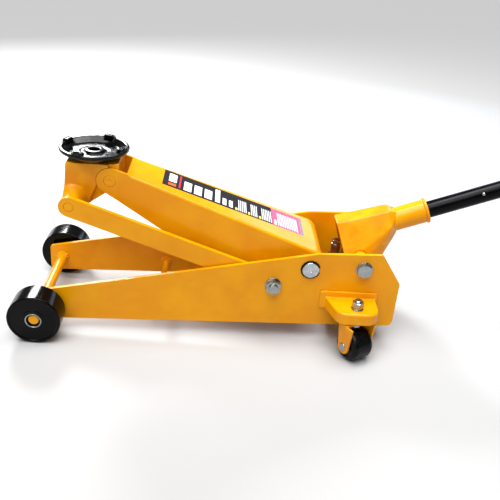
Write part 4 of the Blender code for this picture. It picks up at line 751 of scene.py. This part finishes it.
@dataclass
class FrameSides:
    """Side plates, base plate, axle, tie rod and lift shaft."""

    bench: Bench
    plate_edge: float = 0.9
    bead: float = 3.3 * MM

    def build(self) -> None:
        """Make the plates and the rods that join them."""
        for name in SIDES:
            self.bench.refine(f"side_plate_{name}", ENAMEL, self.plate_edge)
        self.bench.refine("unit_base_plate", ENAMEL, 0.8)
        self.axle()
        self.tie_rod()
        self.shaft()
        self.welds()

    def axle(self) -> None:
        """Painted axle with its collars and the grooves for the circlips."""
        low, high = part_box("front_axle")
        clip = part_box("axle_circlip_right")
        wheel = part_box("front_wheel_right")[0].y
        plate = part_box("side_plate_right")[1].y
        radius, collar, groove = 8.75 * MM, (high.z - low.z) / 2, 7.65 * MM
        half = [
            (0.0, high.y, 0.0), (radius, high.y, 1.0 * MM), (radius, clip[1].y, 0.0),
            (groove, clip[1].y, 0.0), (groove, clip[0].y, 0.0), (radius, clip[0].y, 0.0),
            (radius, wheel - 0.4 * MM, 0.0), (collar, wheel - 0.4 * MM, 1.0 * MM),
            (collar, plate + 0.3 * MM, 0.6 * MM), (radius, plate + 0.3 * MM, 0.0),
        ]
        self.bench.cross_rod("front_axle", half, ENAMEL, 72)

    def tie_rod(self) -> None:
        """Thin rod between the plates, thicker at its ends."""
        low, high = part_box("tie_rod")
        collar, radius, length = (high.z - low.z) / 2, 5.5 * MM, 7.0 * MM
        half = [
            (0.0, high.y, 0.0), (collar, high.y, 0.0), (collar, high.y - length, 1.2 * MM),
            (radius, high.y - length, 1.0 * MM),
        ]
        self.bench.cross_rod("tie_rod", half, ENAMEL, 64)

    def shaft(self) -> None:
        """Ground shaft of the lift arm, with chamfered ends."""
        low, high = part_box("lift_shaft")
        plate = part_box("side_plate_right")[1].y
        radius = (high.z - low.z) / 2
        groove = radius - 1.1 * MM
        outer = plate + 2.3 * MM
        half = [
            (0.0, high.y - 0.5 * MM, 0.0), (radius * 0.22, high.y - 0.5 * MM, 0.3 * MM),
            (radius * 0.24, high.y, 0.2 * MM), (radius, high.y, 1.1 * MM), (radius, outer, 0.0),
            (groove, outer, 0.0), (groove, plate, 0.0), (radius, plate, 0.0),
        ]
        self.bench.cross_rod("lift_shaft", half, GROUND, 96)

    def welds(self) -> None:
        """Fillet welds where the rods meet the plates."""
        for name, side in SIDES.items():
            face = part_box("side_plate_right")
            spots = {
                "axle_inner": ("front_axle", 8.9 * MM, face[0].y),
                "axle_outer": ("front_axle", 12.4 * MM, face[1].y),
                "tie_rod": ("tie_rod", 8.6 * MM, face[0].y),
            }
            for seed, (spot, (node, ring, y)) in enumerate(spots.items()):
                at = middle_of(node)
                at.y = side * y
                shift = seed + 5 * int(side > 0)
                bead = weld_bead(along((0.0, side, 0.0), at), ring, self.bead, shift)
                self.bench.piece(f"weld_{spot}_{name}", bead, ENAMEL_CAST, "frame")


@dataclass
class FrontWheels:
    """Solid nylon wheels with pressed-in steel bushes."""

    bench: Bench
    edge: float = 2.6 * MM
    dish: float = 0.7 * MM
    lip: float = 2.0 * MM

    def build(self) -> None:
        """Make both wheels."""
        for name, side in SIDES.items():
            node, bush = f"front_wheel_{name}", f"wheel_bush_{name}"
            size, at = size_of(node), middle_of(node)
            radius, half = size.z / 2, size.y / 2
            bore = size_of(bush).z / 2
            frame = along((0.0, side, 0.0), at)
            face = radius - 6.0 * MM
            crown = 0.25 * MM
            self.bench.stand_in(node, spun(fillet([
                (bore, half - self.dish, 0.0), (bore + 5 * MM, half - self.dish, 0.6 * MM),
                (bore + 6 * MM, half - 2 * self.dish, 0.8 * MM),
                (face, half - 2 * self.dish, 1.5 * MM), (face + 1.5 * MM, half, 1.0 * MM),
                (radius - crown, half, self.edge), (radius, half * 0.4, 30 * MM),
                (radius, -half * 0.4, 30 * MM), (radius - crown, -half, self.edge),
                (bore, -half, 0.0), (bore, half - self.dish, 0.0),
            ], 8), frame, 144), NYLON)
            inner = 9.15 * MM
            mouth = half - 8.0 * MM
            self.bench.stand_in(bush, spun(fillet([
                (bore, half - 0.3 * MM, 0.0), (bore - 0.4 * MM, half, 0.0),
                (bore - self.lip + 0.3 * MM, half, 0.0), (bore - self.lip, half - 0.3 * MM, 0.0),
                (bore - self.lip, mouth, 0.6 * MM), (inner, mouth, 0.3 * MM),
                (inner, -half, 0.0), (bore, -half, 0.0),
            ], 3), frame, 96, bored=True), ZINC)


@dataclass
class Casters:
    """Pressed brackets, kingpins, forks and small wheels of the two casters."""

    bench: Bench
    press: float = 3.6 * MM

    def build(self) -> None:
        """Make both casters."""
        for name in SIDES:
            self.bracket(name)
            self.kingpin(name)
            self.bench.cast(
                f"caster_fork_{name}", copy_of(f"caster_fork_{name}"), ENAMEL_CAST, 0.7, 3
            )
            self.wheel(name)

    def bracket(self, name: str) -> None:
        """Pressing on the plate that holds the kingpin."""
        node = f"caster_bracket_{name}"
        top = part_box(f"kingpin_nut_{name}")[0].z - 0.3 * MM
        root = max(abs(corner.y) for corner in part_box(f"side_plate_{name}")) + 4.0 * MM

        def on_top(edge: bmesh.types.BMEdge) -> bool:
            """Whether an edge is on the rim of the pressing's top, clear of its flange."""
            level = all(
                abs(vert.co.z - top) < 0.1 * MM and abs(vert.co.y) > root for vert in edge.verts
            )
            return level and edge.calc_length() > 0.8 * MM and not self.at_pin(edge, name)

        pressed = soften(copy_of(node), self.press, 5, on_top, clamp=False)
        self.bench.cast(node, pressed, ENAMEL, 0.8, 6)

    def at_pin(self, edge: bmesh.types.BMEdge, name: str) -> bool:
        """Whether an edge is on the rim of the kingpin's hole."""
        pin = middle_of(f"kingpin_{name}")
        return all((vert.co - pin).xy.length < 8.0 * MM for vert in edge.verts)

    def kingpin(self, name: str) -> None:
        """Pin with its thread and the nut over a washer."""
        pin, nut = f"kingpin_{name}", f"kingpin_nut_{name}"
        low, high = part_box(pin)
        nut_low, nut_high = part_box(nut)
        at = middle_of(nut)
        radius, race = 6.0 * MM, 15.5 * MM
        head = 11.0 * MM
        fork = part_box(f"caster_fork_{name}")[1].z
        seat = nut_low.z - 4.3 * MM
        profile = [
            (0.0, high.z), *thread(radius, nut_high.z - 2 * MM, high.z), (radius, seat),
            *fillet([(radius, seat, 0.0), (race, seat, 1.2 * MM), (race, fork + 0.4 * MM, 1.2 * MM),
                     (radius, fork + 0.4 * MM, 0.0)], 3),
            (radius, fork - 4.4 * MM), (head, fork - 4.4 * MM), (head, low.z), (0.0, low.z),
        ]
        frame = Matrix.Translation((at.x, at.y, 0.0))
        self.bench.stand_in(pin, spun(profile, frame, 72), ZINC)
        height = nut_high.z - nut_low.z
        washer, bore, split = 10.5 * MM, radius + 0.2 * MM, 3.0 * MM
        parts = joined(
            hexagon_head(18.0 * MM, split, height, bore),
            spun(fillet([(bore, 1.6 * MM, 0.0), (washer, 1.6 * MM, 0.5 * MM),
                         (washer, 0.0, 0.5 * MM), (bore, 0.0, 0.0)], 3), UNIT, 72, bored=True),
            spun(fillet([(bore, split + 0.1 * MM, 0.0), (washer * 0.86, split + 0.1 * MM, 0.4 * MM),
                         (washer * 0.86, 1.7 * MM, 0.4 * MM), (bore, 1.7 * MM, 0.0)], 3),
                 UNIT, 72, bored=True),
        )
        bmesh.ops.translate(parts, vec=(at.x, at.y, nut_low.z), verts=parts.verts)
        self.bench.stand_in(nut, parts, ZINC)

    def wheel(self, name: str) -> None:
        """Small wheel with a rounded tread, on a riveted axle."""
        node, axle = f"caster_wheel_{name}", f"caster_axle_{name}"
        height = size_of(node).z
        at = middle_of(node)
        line = self.axle_line(axle)
        radius, half, edge = height / 2, 21.0 * MM, 9.0 * MM
        bore, hub = 4.9 * MM, 11.0 * MM
        frame = along(line, at)
        self.bench.stand_in(node, spun(fillet([
            (bore, half, 0.0), (hub, half, 0.8 * MM), (hub + 1.0 * MM, half - 1.5 * MM, 0.8 * MM),
            (radius - edge, half - 1.5 * MM, 0.0), (radius - edge, half, 0.6 * MM),
            (radius, half, edge), (radius, -half, edge), (radius - edge, -half, 0.6 * MM),
            (radius - edge, 1.5 * MM - half, 0.0), (hub + 1.0 * MM, 1.5 * MM - half, 0.8 * MM),
            (hub, -half, 0.8 * MM), (bore, -half, 0.0), (bore, half, 0.0),
        ], 8), frame, 96), TREAD)
        end, rivet, face = 28.7 * MM, 7.5 * MM, 26.8 * MM
        half_rod = [
            (0.0, end, 0.0), (rivet, end, 1.6 * MM), (rivet, face, 0.3 * MM), (4.5 * MM, face, 0.0),
        ]
        rod = spun(fillet(mirrored(half_rod), 5), along(line, middle_of(axle)), 48)
        self.bench.stand_in(axle, rod, ZINC)

    def axle_line(self, axle: str) -> Vector:
        """Direction of a caster's axle, from the far ends of its rivets."""
        verts = [v.co for v in self.bench.nodes[axle].data.vertices]
        middle = middle_of(axle)
        ends = sorted(verts, key=lambda co: (co - middle).xy.length)[-16:]
        right = [co for co in ends if co.x > middle.x]
        spread = sum(right, Vector()) / len(right) - middle
        spread.z = 0.0
        return spread.normalized()


@dataclass
class ArmLine:
    """The line from the head pin to the lift shaft, which the arm is laid out along."""

    head: Vector = field(default_factory=lambda: middle_of("head_pin"))
    shaft: Vector = field(default_factory=lambda: middle_of("lift_shaft"))
    nose: float = 22.1 * MM
    tail: float = 25.0 * MM

    @property
    def span(self) -> float:
        """Distance between the two pivots."""
        return (self.shaft - self.head).length

    def frame(self) -> Matrix:
        """Frame with X down the arm, Y across and Z up, from the head pin."""
        run = (self.shaft - self.head).normalized()
        side = Vector((0.0, 1.0, 0.0))
        turn = Matrix((run, side, run.cross(side))).transposed().to_4x4()
        return Matrix.Translation(self.head) @ turn

    def top(self, distance: float) -> Matrix:
        """Frame on the top plate's face, at a distance behind the head pin."""
        lean = math.atan2(self.tail - self.nose, self.span)
        height = self.nose + (self.tail - self.nose) * distance / self.span
        return (
            self.frame() @ Matrix.Translation((distance, 0.0, height))
            @ Matrix.Rotation(-lean, 4, "Y")
        )


@dataclass
class LiftArm:
    """Folded channel with its pins, pivot tube and crank."""

    bench: Bench
    line: ArmLine
    fold: float = 4.6 * MM
    fold_from: float = 30.0 * MM
    wrap: float = math.radians(-26.0)

    def build(self) -> None:
        """Make the arm and what turns with it."""
        self.channel()
        self.head_pin()
        self.bench.refine("arm_pivot_tube", ENAMEL, 0.5)
        self.bench.refine("crank", ENAMEL_CAST, 1.2)
        self.bench.refine("crank_pin", GROUND, 0.5)

    def on_fold(self, edge: bmesh.types.BMEdge) -> bool:
        """Whether an edge is on one of the two long folds, or their wrap round the shaft."""
        inverse = self.line.frame().inverted()
        for vert in edge.verts:
            at = inverse @ vert.co
            beyond = at.x - self.line.span
            if at.x < self.fold_from - 0.1 * MM:
                return False
            if beyond <= 0.0 and at.z < self.line.nose - 2 * MM:
                return False
            if beyond > 0.0 and math.atan2(at.z, beyond) < self.wrap:
                return False
        outward = [abs(face.normal.y) for face in edge.link_faces]
        middle = (edge.verts[0].co + edge.verts[1].co) / 2
        cheek = max(edge.link_faces, key=lambda face: abs(face.normal.y))
        return max(outward) > 0.9 and min(outward) < 0.4 and cheek.normal.y * middle.y > 0.0

    def channel(self) -> None:
        """The channel, with round folds along its top plate."""
        work = copy_of("lift_arm")
        frame = self.line.frame()
        bmesh.ops.bisect_plane(
            work, geom=[*work.verts, *work.edges, *work.faces], dist=0.001 * MM,
            plane_co=frame @ Vector((self.fold_from, 0.0, 0.0)), plane_no=frame.col[0].xyz,
        )
        soften(work, self.fold, 6, self.on_fold, clamp=False)
        layer = work.faces.layers.float[EDGE]
        for face in work.faces:
            face[layer] = 0.0
        soften(work, 0.7 * MM, 2)
        self.bench.stand_in("lift_arm", work, ENAMEL)

    def head_pin(self) -> None:
        """Pin through the arm's nose, with a centre mark and painted over."""
        half, radius = size_of("head_pin").y / 2, size_of("head_pin").z / 2
        ends = [
            (0.0, half - 0.6 * MM, 0.0), (radius * 0.2, half - 0.6 * MM, 0.3 * MM),
            (radius * 0.3, half, 0.3 * MM), (radius, half, 0.9 * MM),
        ]
        self.bench.cross_rod("head_pin", ends, ENAMEL, 72)


@dataclass
class Label:
    """Generic printed label on the arm: blocks and rules in place of any words."""

    bench: Bench
    line: ArmLine
    start: float = 82.0 * MM
    length: float = 266.0
    near: tuple[float, float] = (-26.0, -21.0)
    far: tuple[float, float] = (41.0, 51.0)
    film: float = 0.12 * MM
    lift: float = 0.06 * MM
    rule: float = 1.5
    pitch: float = 3.4

    def build(self) -> None:
        """Lay the films: a dark base, a pink panel, then blocks and rules."""
        blocks: dict[Ink, list[Block]] = {
            Ink.BLACK: [(0.0, 205.0, 0.0, 1.0)],
            Ink.PINK: [(205.0, 261.0, 0.0, 1.0)],
            Ink.GREY: [(261.0, 266.0, 0.0, 1.0)],
        }
        self.lay("base", blocks, 0)
        marks: dict[Ink, list[Block]] = {ink: [] for ink in Ink}
        marks[Ink.ORANGE] += [(10.0, 24.0, 0.10, 0.24)]
        marks[Ink.WHITE] += [(10.0, 24.0, 0.34, 0.86), (209.0, 213.0, 0.06, 0.34)]
        marks[Ink.RED] += [(29.0, 32.0, 0.10, 0.90)]
        for at, width, high in ((38.0, 14.0, 0.66), (57.0, 14.0, 0.66), (76.0, 14.0, 0.66),
                                (96.0, 9.0, 0.90), (110.0, 7.0, 0.50), (122.0, 7.0, 0.50)):
            marks[Ink.WHITE].append((at, at + width, 0.10, high))
        for at, count in ((140.0, 5), (164.0, 4), (185.0, 6)):
            marks[Ink.LEMON].append((at - 6.0, at - 2.0, 0.06, 0.20))
            marks[Ink.WHITE] += self.rules(at, count, 0.74)
        marks[Ink.WHITE] += self.rules(216.0, 12, 0.80)
        self.lay("print", marks, 1)

    def rules(self, at: float, count: int, high: float) -> list[Block]:
        """Even thin rules side by side, from a place down the label."""
        return [
            (at + step * self.pitch, at + step * self.pitch + self.rule, 0.07, high)
            for step in range(count)
        ]

    def lay(self, name: str, blocks: dict[Ink, list[Block]], layer: int) -> None:
        """Make one film of each ink.

        Args:
            name: What the films are called.
            blocks: For each ink, its blocks: start and end down the arm in millimetres, and
                the shares of the label's width where they start and end.
            layer: Which film lies on which, from 0.
        """
        frame = self.line.top(self.start)
        base = self.lift + layer * (self.film + self.lift)
        for ink, areas in blocks.items():
            if not areas:
                continue
            work = bmesh.new()
            for first, last, low, high in areas:
                corners = [(first, low), (last, low), (last, high), (first, high)]
                verts = [work.verts.new(self.point(run, share, base)) for run, share in corners]
                work.faces.new(verts)
            sheet = bmesh.ops.extrude_face_region(work, geom=work.faces[:])
            raised = [item for item in sheet["geom"] if isinstance(item, bmesh.types.BMVert)]
            bmesh.ops.translate(work, vec=(0.0, 0.0, self.film), verts=raised)
            bmesh.ops.recalc_face_normals(work, faces=work.faces)
            bmesh.ops.transform(work, matrix=frame, verts=work.verts)
            self.bench.piece(f"label_{name}_{ink.name.lower()}", work, ink.value, "lift_arm")

    def point(self, run: float, share: float, height: float) -> Vector:
        """Point of the label at a distance down it and a share of its width."""
        part = run / self.length
        near = self.near[0] + (self.near[1] - self.near[0]) * part
        far = self.far[0] + (self.far[1] - self.far[0]) * part
        return Vector((run * MM, (near + (far - near) * share) * MM, height))


@dataclass
class Links:
    """Flat bars that hold the head level, and their pin."""

    bench: Bench

    def build(self) -> None:
        """Make the two bars and the pin."""
        for name in SIDES:
            self.bench.refine(f"link_bar_{name}", ENAMEL, 1.3, 3)
        half, radius = size_of("link_pin").y / 2, size_of("link_pin").z / 2
        ends = [
            (0.0, half - 0.3 * MM, 0.0), (radius * 0.5, half - 0.2 * MM, 3 * MM),
            (radius, half - 0.4 * MM, 1.2 * MM),
        ]
        self.bench.cross_rod("link_pin", ends, ENAMEL, 64)


@dataclass
class SaddleHead:
    """Cast head, and the dish that meets the load."""

    bench: Bench
    lugs: int = 4
    lug_turn: float = math.radians(-20.0)
    lug_arc: float = math.radians(20.0)
    lug_height: float = 5.5 * MM
    lug_depth: float = 11.0 * MM

    def build(self) -> None:
        """Make the head and the dish."""
        self.bench.cast("saddle_head", copy_of("saddle_head"), ENAMEL_CAST, 1.0, 4)
        self.dish()

    def dish(self) -> None:
        """Dish with a raised rim, a boss, rings in its floor and lugs on its rim."""
        low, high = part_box("saddle")
        at = middle_of("saddle")
        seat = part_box("saddle_head")[1].z
        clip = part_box("saddle_circlip")
        radius = (high.x - low.x) / 2
        rim = high.z - self.lug_height
        floor, boss_top = rim - 9.3 * MM, rim - 6.3 * MM
        stem, groove, bore = 14.5 * MM, 13.4 * MM, 9.0 * MM
        foot = seat + 0.3 * MM
        profile = fillet([
            (bore, boss_top, 0.0), (bore + 1.2 * MM, boss_top + 0.8 * MM, 1.0 * MM),
            (16.0 * MM, boss_top + 0.6 * MM, 1.6 * MM), (17.0 * MM, floor - 0.6 * MM, 1.6 * MM),
            (24.0 * MM, floor - 0.6 * MM, 1.2 * MM), (25.0 * MM, floor + 0.3 * MM, 1.2 * MM),
            (43.0 * MM, floor + 0.2 * MM, 5.0 * MM), (radius - 6.5 * MM, rim - 0.8 * MM, 2.0 * MM),
            (radius - 5.0 * MM, rim, 1.2 * MM), (radius, rim, 2.2 * MM),
            (radius, rim - 5.5 * MM, 1.6 * MM), (43.0 * MM, foot, 2.0 * MM),
            (stem, foot, 0.0), (stem, clip[1].z + 0.4 * MM, 0.0), (groove, clip[1].z + 0.4 * MM, 0.0),
            (groove, clip[0].z - 0.4 * MM, 0.0), (stem, clip[0].z - 0.4 * MM, 0.0),
            (stem, low.z, 0.8 * MM), (bore, low.z, 0.0), (bore, boss_top, 0.0),
        ], 5)
        parts = [spun(profile, Matrix.Translation((at.x, at.y, 0.0)), 160)]
        outer = radius - 1.2 * MM
        section = fillet([
            (outer - self.lug_depth / 2, rim - 4 * MM, 0.0), (outer, rim - 4 * MM, 0.0),
            (outer, high.z, 1.6 * MM), (outer - self.lug_depth, high.z, 1.8 * MM),
            (outer - self.lug_depth, rim - 4 * MM, 0.0),
            (outer - self.lug_depth / 2, rim - 4 * MM, 0.0),
        ], 4)[:-1]
        for index in range(self.lugs):
            start = self.lug_turn + index * math.tau / self.lugs - self.lug_arc / 2
            frame = Matrix.Translation((at.x, at.y, 0.0)) @ Matrix.Rotation(start, 4, "Z")
            parts.append(spun(section, frame, 14, sweep=self.lug_arc))
        self.bench.cast("saddle", joined(*parts), IRON, 0.7, 4)


@dataclass
class PowerUnit:
    """Cylinder, ram, pump block, plunger and spring."""

    bench: Bench

    def build(self) -> None:
        """Make the hydraulic parts."""
        self.bench.refine("cylinder", UNIT_PAINT, 0.8)
        self.bench.refine("pump_block", UNIT_PAINT, 2.0, 3)
        self.bench.refine("ram", GROUND, 0.6)
        self.bench.refine("pump_plunger", GROUND, 0.5)
        self.bench.refine("pump_cam", ZINC, 0.6)
        self.bench.refine("plunger_spring", WIRE, 0.1)


@dataclass
class HandleLine:
    """The handle's axis, measured along it from beside the socket's pivot."""

    pivot: Vector = field(default_factory=lambda: middle_of("socket_pivot_tube"))
    rise: float = math.radians(21.66)
    offset: float = 30.8 * MM
    mouth: float = 137.3 * MM
    tube: float = 15.0 * MM

    def frame(self, distance: float = 0.0) -> Matrix:
        """Frame whose +Z runs up the handle, at a distance along it."""
        run = Vector((math.cos(self.rise), 0.0, math.sin(self.rise)))
        up = Vector((-math.sin(self.rise), 0.0, math.cos(self.rise)))
        return along(run, self.pivot + up * self.offset + run * distance)


@dataclass
class HandleSocket:
    """Pressed yoke with the tube that takes the handle."""

    bench: Bench
    line: HandleLine
    wall: float = 5.5 * MM
    depth: float = 80.0 * MM
    lip: float = 1.8 * MM
    lip_length: float = 4.0 * MM

    def build(self) -> None:
        """Make the yoke and its tubes."""
        self.bench.cast("socket_yoke", copy_of("socket_yoke"), ENAMEL_CAST, 0.9, 26)
        mouth, bore = self.line.mouth, self.line.tube + 0.4 * MM
        outer = bore + self.wall
        self.bench.stand_in("socket_tube", spun(fillet([
            (bore, mouth - 1.0 * MM, 0.0), (bore + 1.0 * MM, mouth, 0.6 * MM),
            (outer + self.lip, mouth, 1.2 * MM),
            (outer + self.lip, mouth - self.lip_length, 1.2 * MM),
            (outer, mouth - self.lip_length - self.lip, 2.0 * MM),
            (outer, mouth - self.depth, 0.6 * MM),
            (bore, mouth - self.depth, 0.0), (bore, mouth - 1.0 * MM, 0.0),
        ], 5), self.line.frame(), 96), ENAMEL)
        half, radius = size_of("socket_pivot_tube").y / 2, size_of("socket_pivot_tube").z / 2
        hole = 8.4 * MM
        self.bench.stand_in("socket_pivot_tube", spun(fillet([
            (hole, half, 0.0), (radius, half, 0.8 * MM), (radius, -half, 0.8 * MM),
            (hole, -half, 0.0),
        ], 3), along(ACROSS, self.line.pivot), 64, bored=True), ENAMEL)


@dataclass
class Handle:
    """Two-piece handle with its stub, snap buttons and grip."""

    bench: Bench
    line: HandleLine
    inside: float = 55.0 * MM
    lower: float = 560.0 * MM
    upper: float = 500.0 * MM
    gap: float = 0.3 * MM
    grip: float = 130.0 * MM
    grip_wall: float = 3.5 * MM
    rib_pitch: float = 5.0 * MM

    def build(self) -> None:
        """Make the handle's pieces."""
        self.tubes()
        self.sleeve()
        self.bench.refine("handle_stub", TUBE_BLACK, 0.3)
        for name in ("snap_button_lower", "snap_button_upper"):
            self.bench.cast(name, copy_of(name), GROUND, 0.25, 3)

    def tubes(self) -> None:
        """Lower tube, and upper tube with its spigot, each cut where its button stands."""
        for name in ("handle_tube_lower", "handle_tube_upper"):
            work = copy_of(name)
            self.bench.stand_in(name, soften(work, 0.35 * MM, 2), TUBE_BLACK)

    def sleeve(self) -> None:
        """Ribbed rubber grip with a domed end."""
        joint = self.line.mouth - self.inside + self.lower
        end = joint + self.gap + self.upper
        radius = self.line.tube + self.gap
        outer = radius + self.grip_wall
        tip = end + 4.0 * MM
        corners = [
            (0.0, tip, 0.0), (outer - 1.2 * MM, tip, 3.0 * MM), (outer, tip - 6.0 * MM, 1.0 * MM),
        ]
        low = end - self.grip
        at = tip - 9.0 * MM
        while at > low + 2 * self.rib_pitch:
            corners += [
                (outer, at, 0.6 * MM), (outer - 1.1 * MM, at - 1.2 * MM, 0.6 * MM),
                (outer - 1.1 * MM, at - 2.2 * MM, 0.6 * MM), (outer, at - 3.4 * MM, 0.6 * MM),
            ]
            at -= self.rib_pitch
        corners += [
            (outer, low, 1.0 * MM), (radius, low, 0.0), (radius, end + self.gap, 0.0),
            (0.0, end + self.gap, 0.0),
        ]
        self.bench.stand_in("handle_grip", spun(fillet(corners, 3), self.line.frame(), 96), RUBBER)


# --- Studio -----------------------------------------------------------------------------------

@dataclass
class Studio:
    """Pale floor, soft lights and the camera."""

    floor_colour: str = "#b4b4b4"
    world: float = 0.14
    sun: float = 4.0
    camera_at: tuple[float, float, float] = (-0.49567, -1.09488, 0.69381)
    yaw: float = math.radians(3.73)
    pitch: float = math.radians(27.32)
    roll: float = math.radians(5.08)
    lens: float = 48.77
    sensor: float = 36.0

    def build(self) -> None:
        """Make the studio."""
        bpy.context.scene.view_settings.view_transform = "Standard"
        self.make_floor()
        self.make_world()
        self.make_sun()
        self.softbox("overhead", (-0.10, 0.20, 1.5), (0.0, 0.0, 0.15), (0.9, 0.5), 16.0)
        self.softbox("front", (-1.2, -2.0, 0.9), (-0.1, 0.0, 0.1), (1.0, 0.8), 7.0)
        self.softbox("back left", (-1.31, 1.66, 1.23), (-0.4, 0.0, 0.1), (0.62, 0.46), 60.0)
        self.softbox("back right", (0.37, 1.75, 0.61), (-0.4, 0.0, 0.1), (0.6, 0.5), 3.0, "#cfe0ff")
        self.make_camera()

    def make_floor(self) -> None:
        """Wide matt floor that reads as white under the lights."""
        mesh = bpy.data.meshes.new("floor")
        work = bmesh.new()
        bmesh.ops.create_grid(work, x_segments=1, y_segments=1, size=30.0)
        work.to_mesh(mesh)
        work.free()
        surface = bpy.data.materials.new("matt paper floor")
        surface.use_nodes = True
        shader = surface.node_tree.nodes["Principled BSDF"]
        shader.inputs["Base Color"].default_value = linear(self.floor_colour)
        shader.inputs["Roughness"].default_value = 0.9
        shader.inputs["Specular IOR Level"].default_value = 0.1
        mesh.materials.append(surface)
        floor = bpy.data.objects.new("floor", mesh)
        bpy.context.scene.collection.objects.link(floor)

    def make_world(self) -> None:
        """Even white surroundings."""
        world = bpy.data.worlds.new("studio")
        world.use_nodes = True
        tree = world.node_tree
        sky = tree.nodes["Background"]
        seen = add_node(tree, "ShaderNodeLightPath", {}, {}).outputs["Is Camera Ray"]
        power = add_node(tree, "ShaderNodeMapRange", {}, {"Value": seen, "To Min": self.world})
        sky.inputs["Color"].default_value = (1.0, 1.0, 1.0, 1.0)
        tree.links.new(power.outputs["Result"], sky.inputs["Strength"])
        bpy.context.scene.world = world

    def make_sun(self) -> None:
        """Wide, soft light from above that falls alike on the whole floor."""
        data = bpy.data.lights.new("skylight", "SUN")
        data.energy = self.sun
        data.angle = math.radians(50.0)
        light = bpy.data.objects.new("skylight", data)
        bpy.context.scene.collection.objects.link(light)
        light.rotation_euler = (math.radians(16.0), math.radians(-8.0), 0.0)

    def softbox(
        self, name: str, at: tuple[float, float, float], to: tuple[float, float, float],
        size: tuple[float, float], watts: float, colour: str = "#ffffff",
    ) -> None:
        """Add one rectangular soft light.

        Args:
            name: Name of the light.
            at: Where it stands.
            to: Where it points.
            size: Width and height.
            watts: Its power.
            colour: Its colour.
        """
        data = bpy.data.lights.new(name, "AREA")
        data.shape = "RECTANGLE"
        data.size, data.size_y = size
        data.energy = watts
        data.color = linear(colour)[:3]
        light = bpy.data.objects.new(name, data)
        bpy.context.scene.collection.objects.link(light)
        aim = (Vector(to) - Vector(at)).to_track_quat("-Z", "Y")
        light.matrix_world = Matrix.Translation(at) @ aim.to_matrix().to_4x4()

    def make_camera(self) -> None:
        """Camera from the front left, above the jack."""
        flat = math.cos(self.pitch)
        ahead = Vector((math.sin(self.yaw) * flat, math.cos(self.yaw) * flat, -math.sin(self.pitch)))
        level = Vector((math.cos(self.yaw), -math.sin(self.yaw), 0.0))
        above = level.cross(ahead)
        right = level * math.cos(self.roll) + above * math.sin(self.roll)
        up = above * math.cos(self.roll) - level * math.sin(self.roll)
        turn = Matrix((right, up, -ahead)).transposed().to_4x4()
        data = bpy.data.cameras.new("camera")
        data.lens, data.sensor_width = self.lens, self.sensor
        camera = bpy.data.objects.new("camera", data)
        bpy.context.scene.collection.objects.link(camera)
        camera.matrix_world = Matrix.Translation(self.camera_at) @ turn
        bpy.context.scene.camera = camera


def main() -> None:
    """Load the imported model, then build and dress every sub-assembly."""
    logging.basicConfig(level=logging.INFO, format="%(message)s")
    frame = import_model()
    bench = Bench(frame["nodes"])
    arm, handle = ArmLine(), HandleLine()
    for assembly in (
        FrameSides(bench), FrontWheels(bench), Casters(bench), Fasteners(bench), PowerUnit(bench),
        LiftArm(bench, arm), Label(bench, arm), Links(bench), SaddleHead(bench),
        HandleSocket(bench, handle), Handle(bench, handle),
    ):
        LOG.info("building %s", type(assembly).__name__)
        assembly.build()
    Studio().build()
    LOG.info("%d pieces", bench.made)
    bpy.context.view_layer.update()


if __name__ == "__main__":
    main()
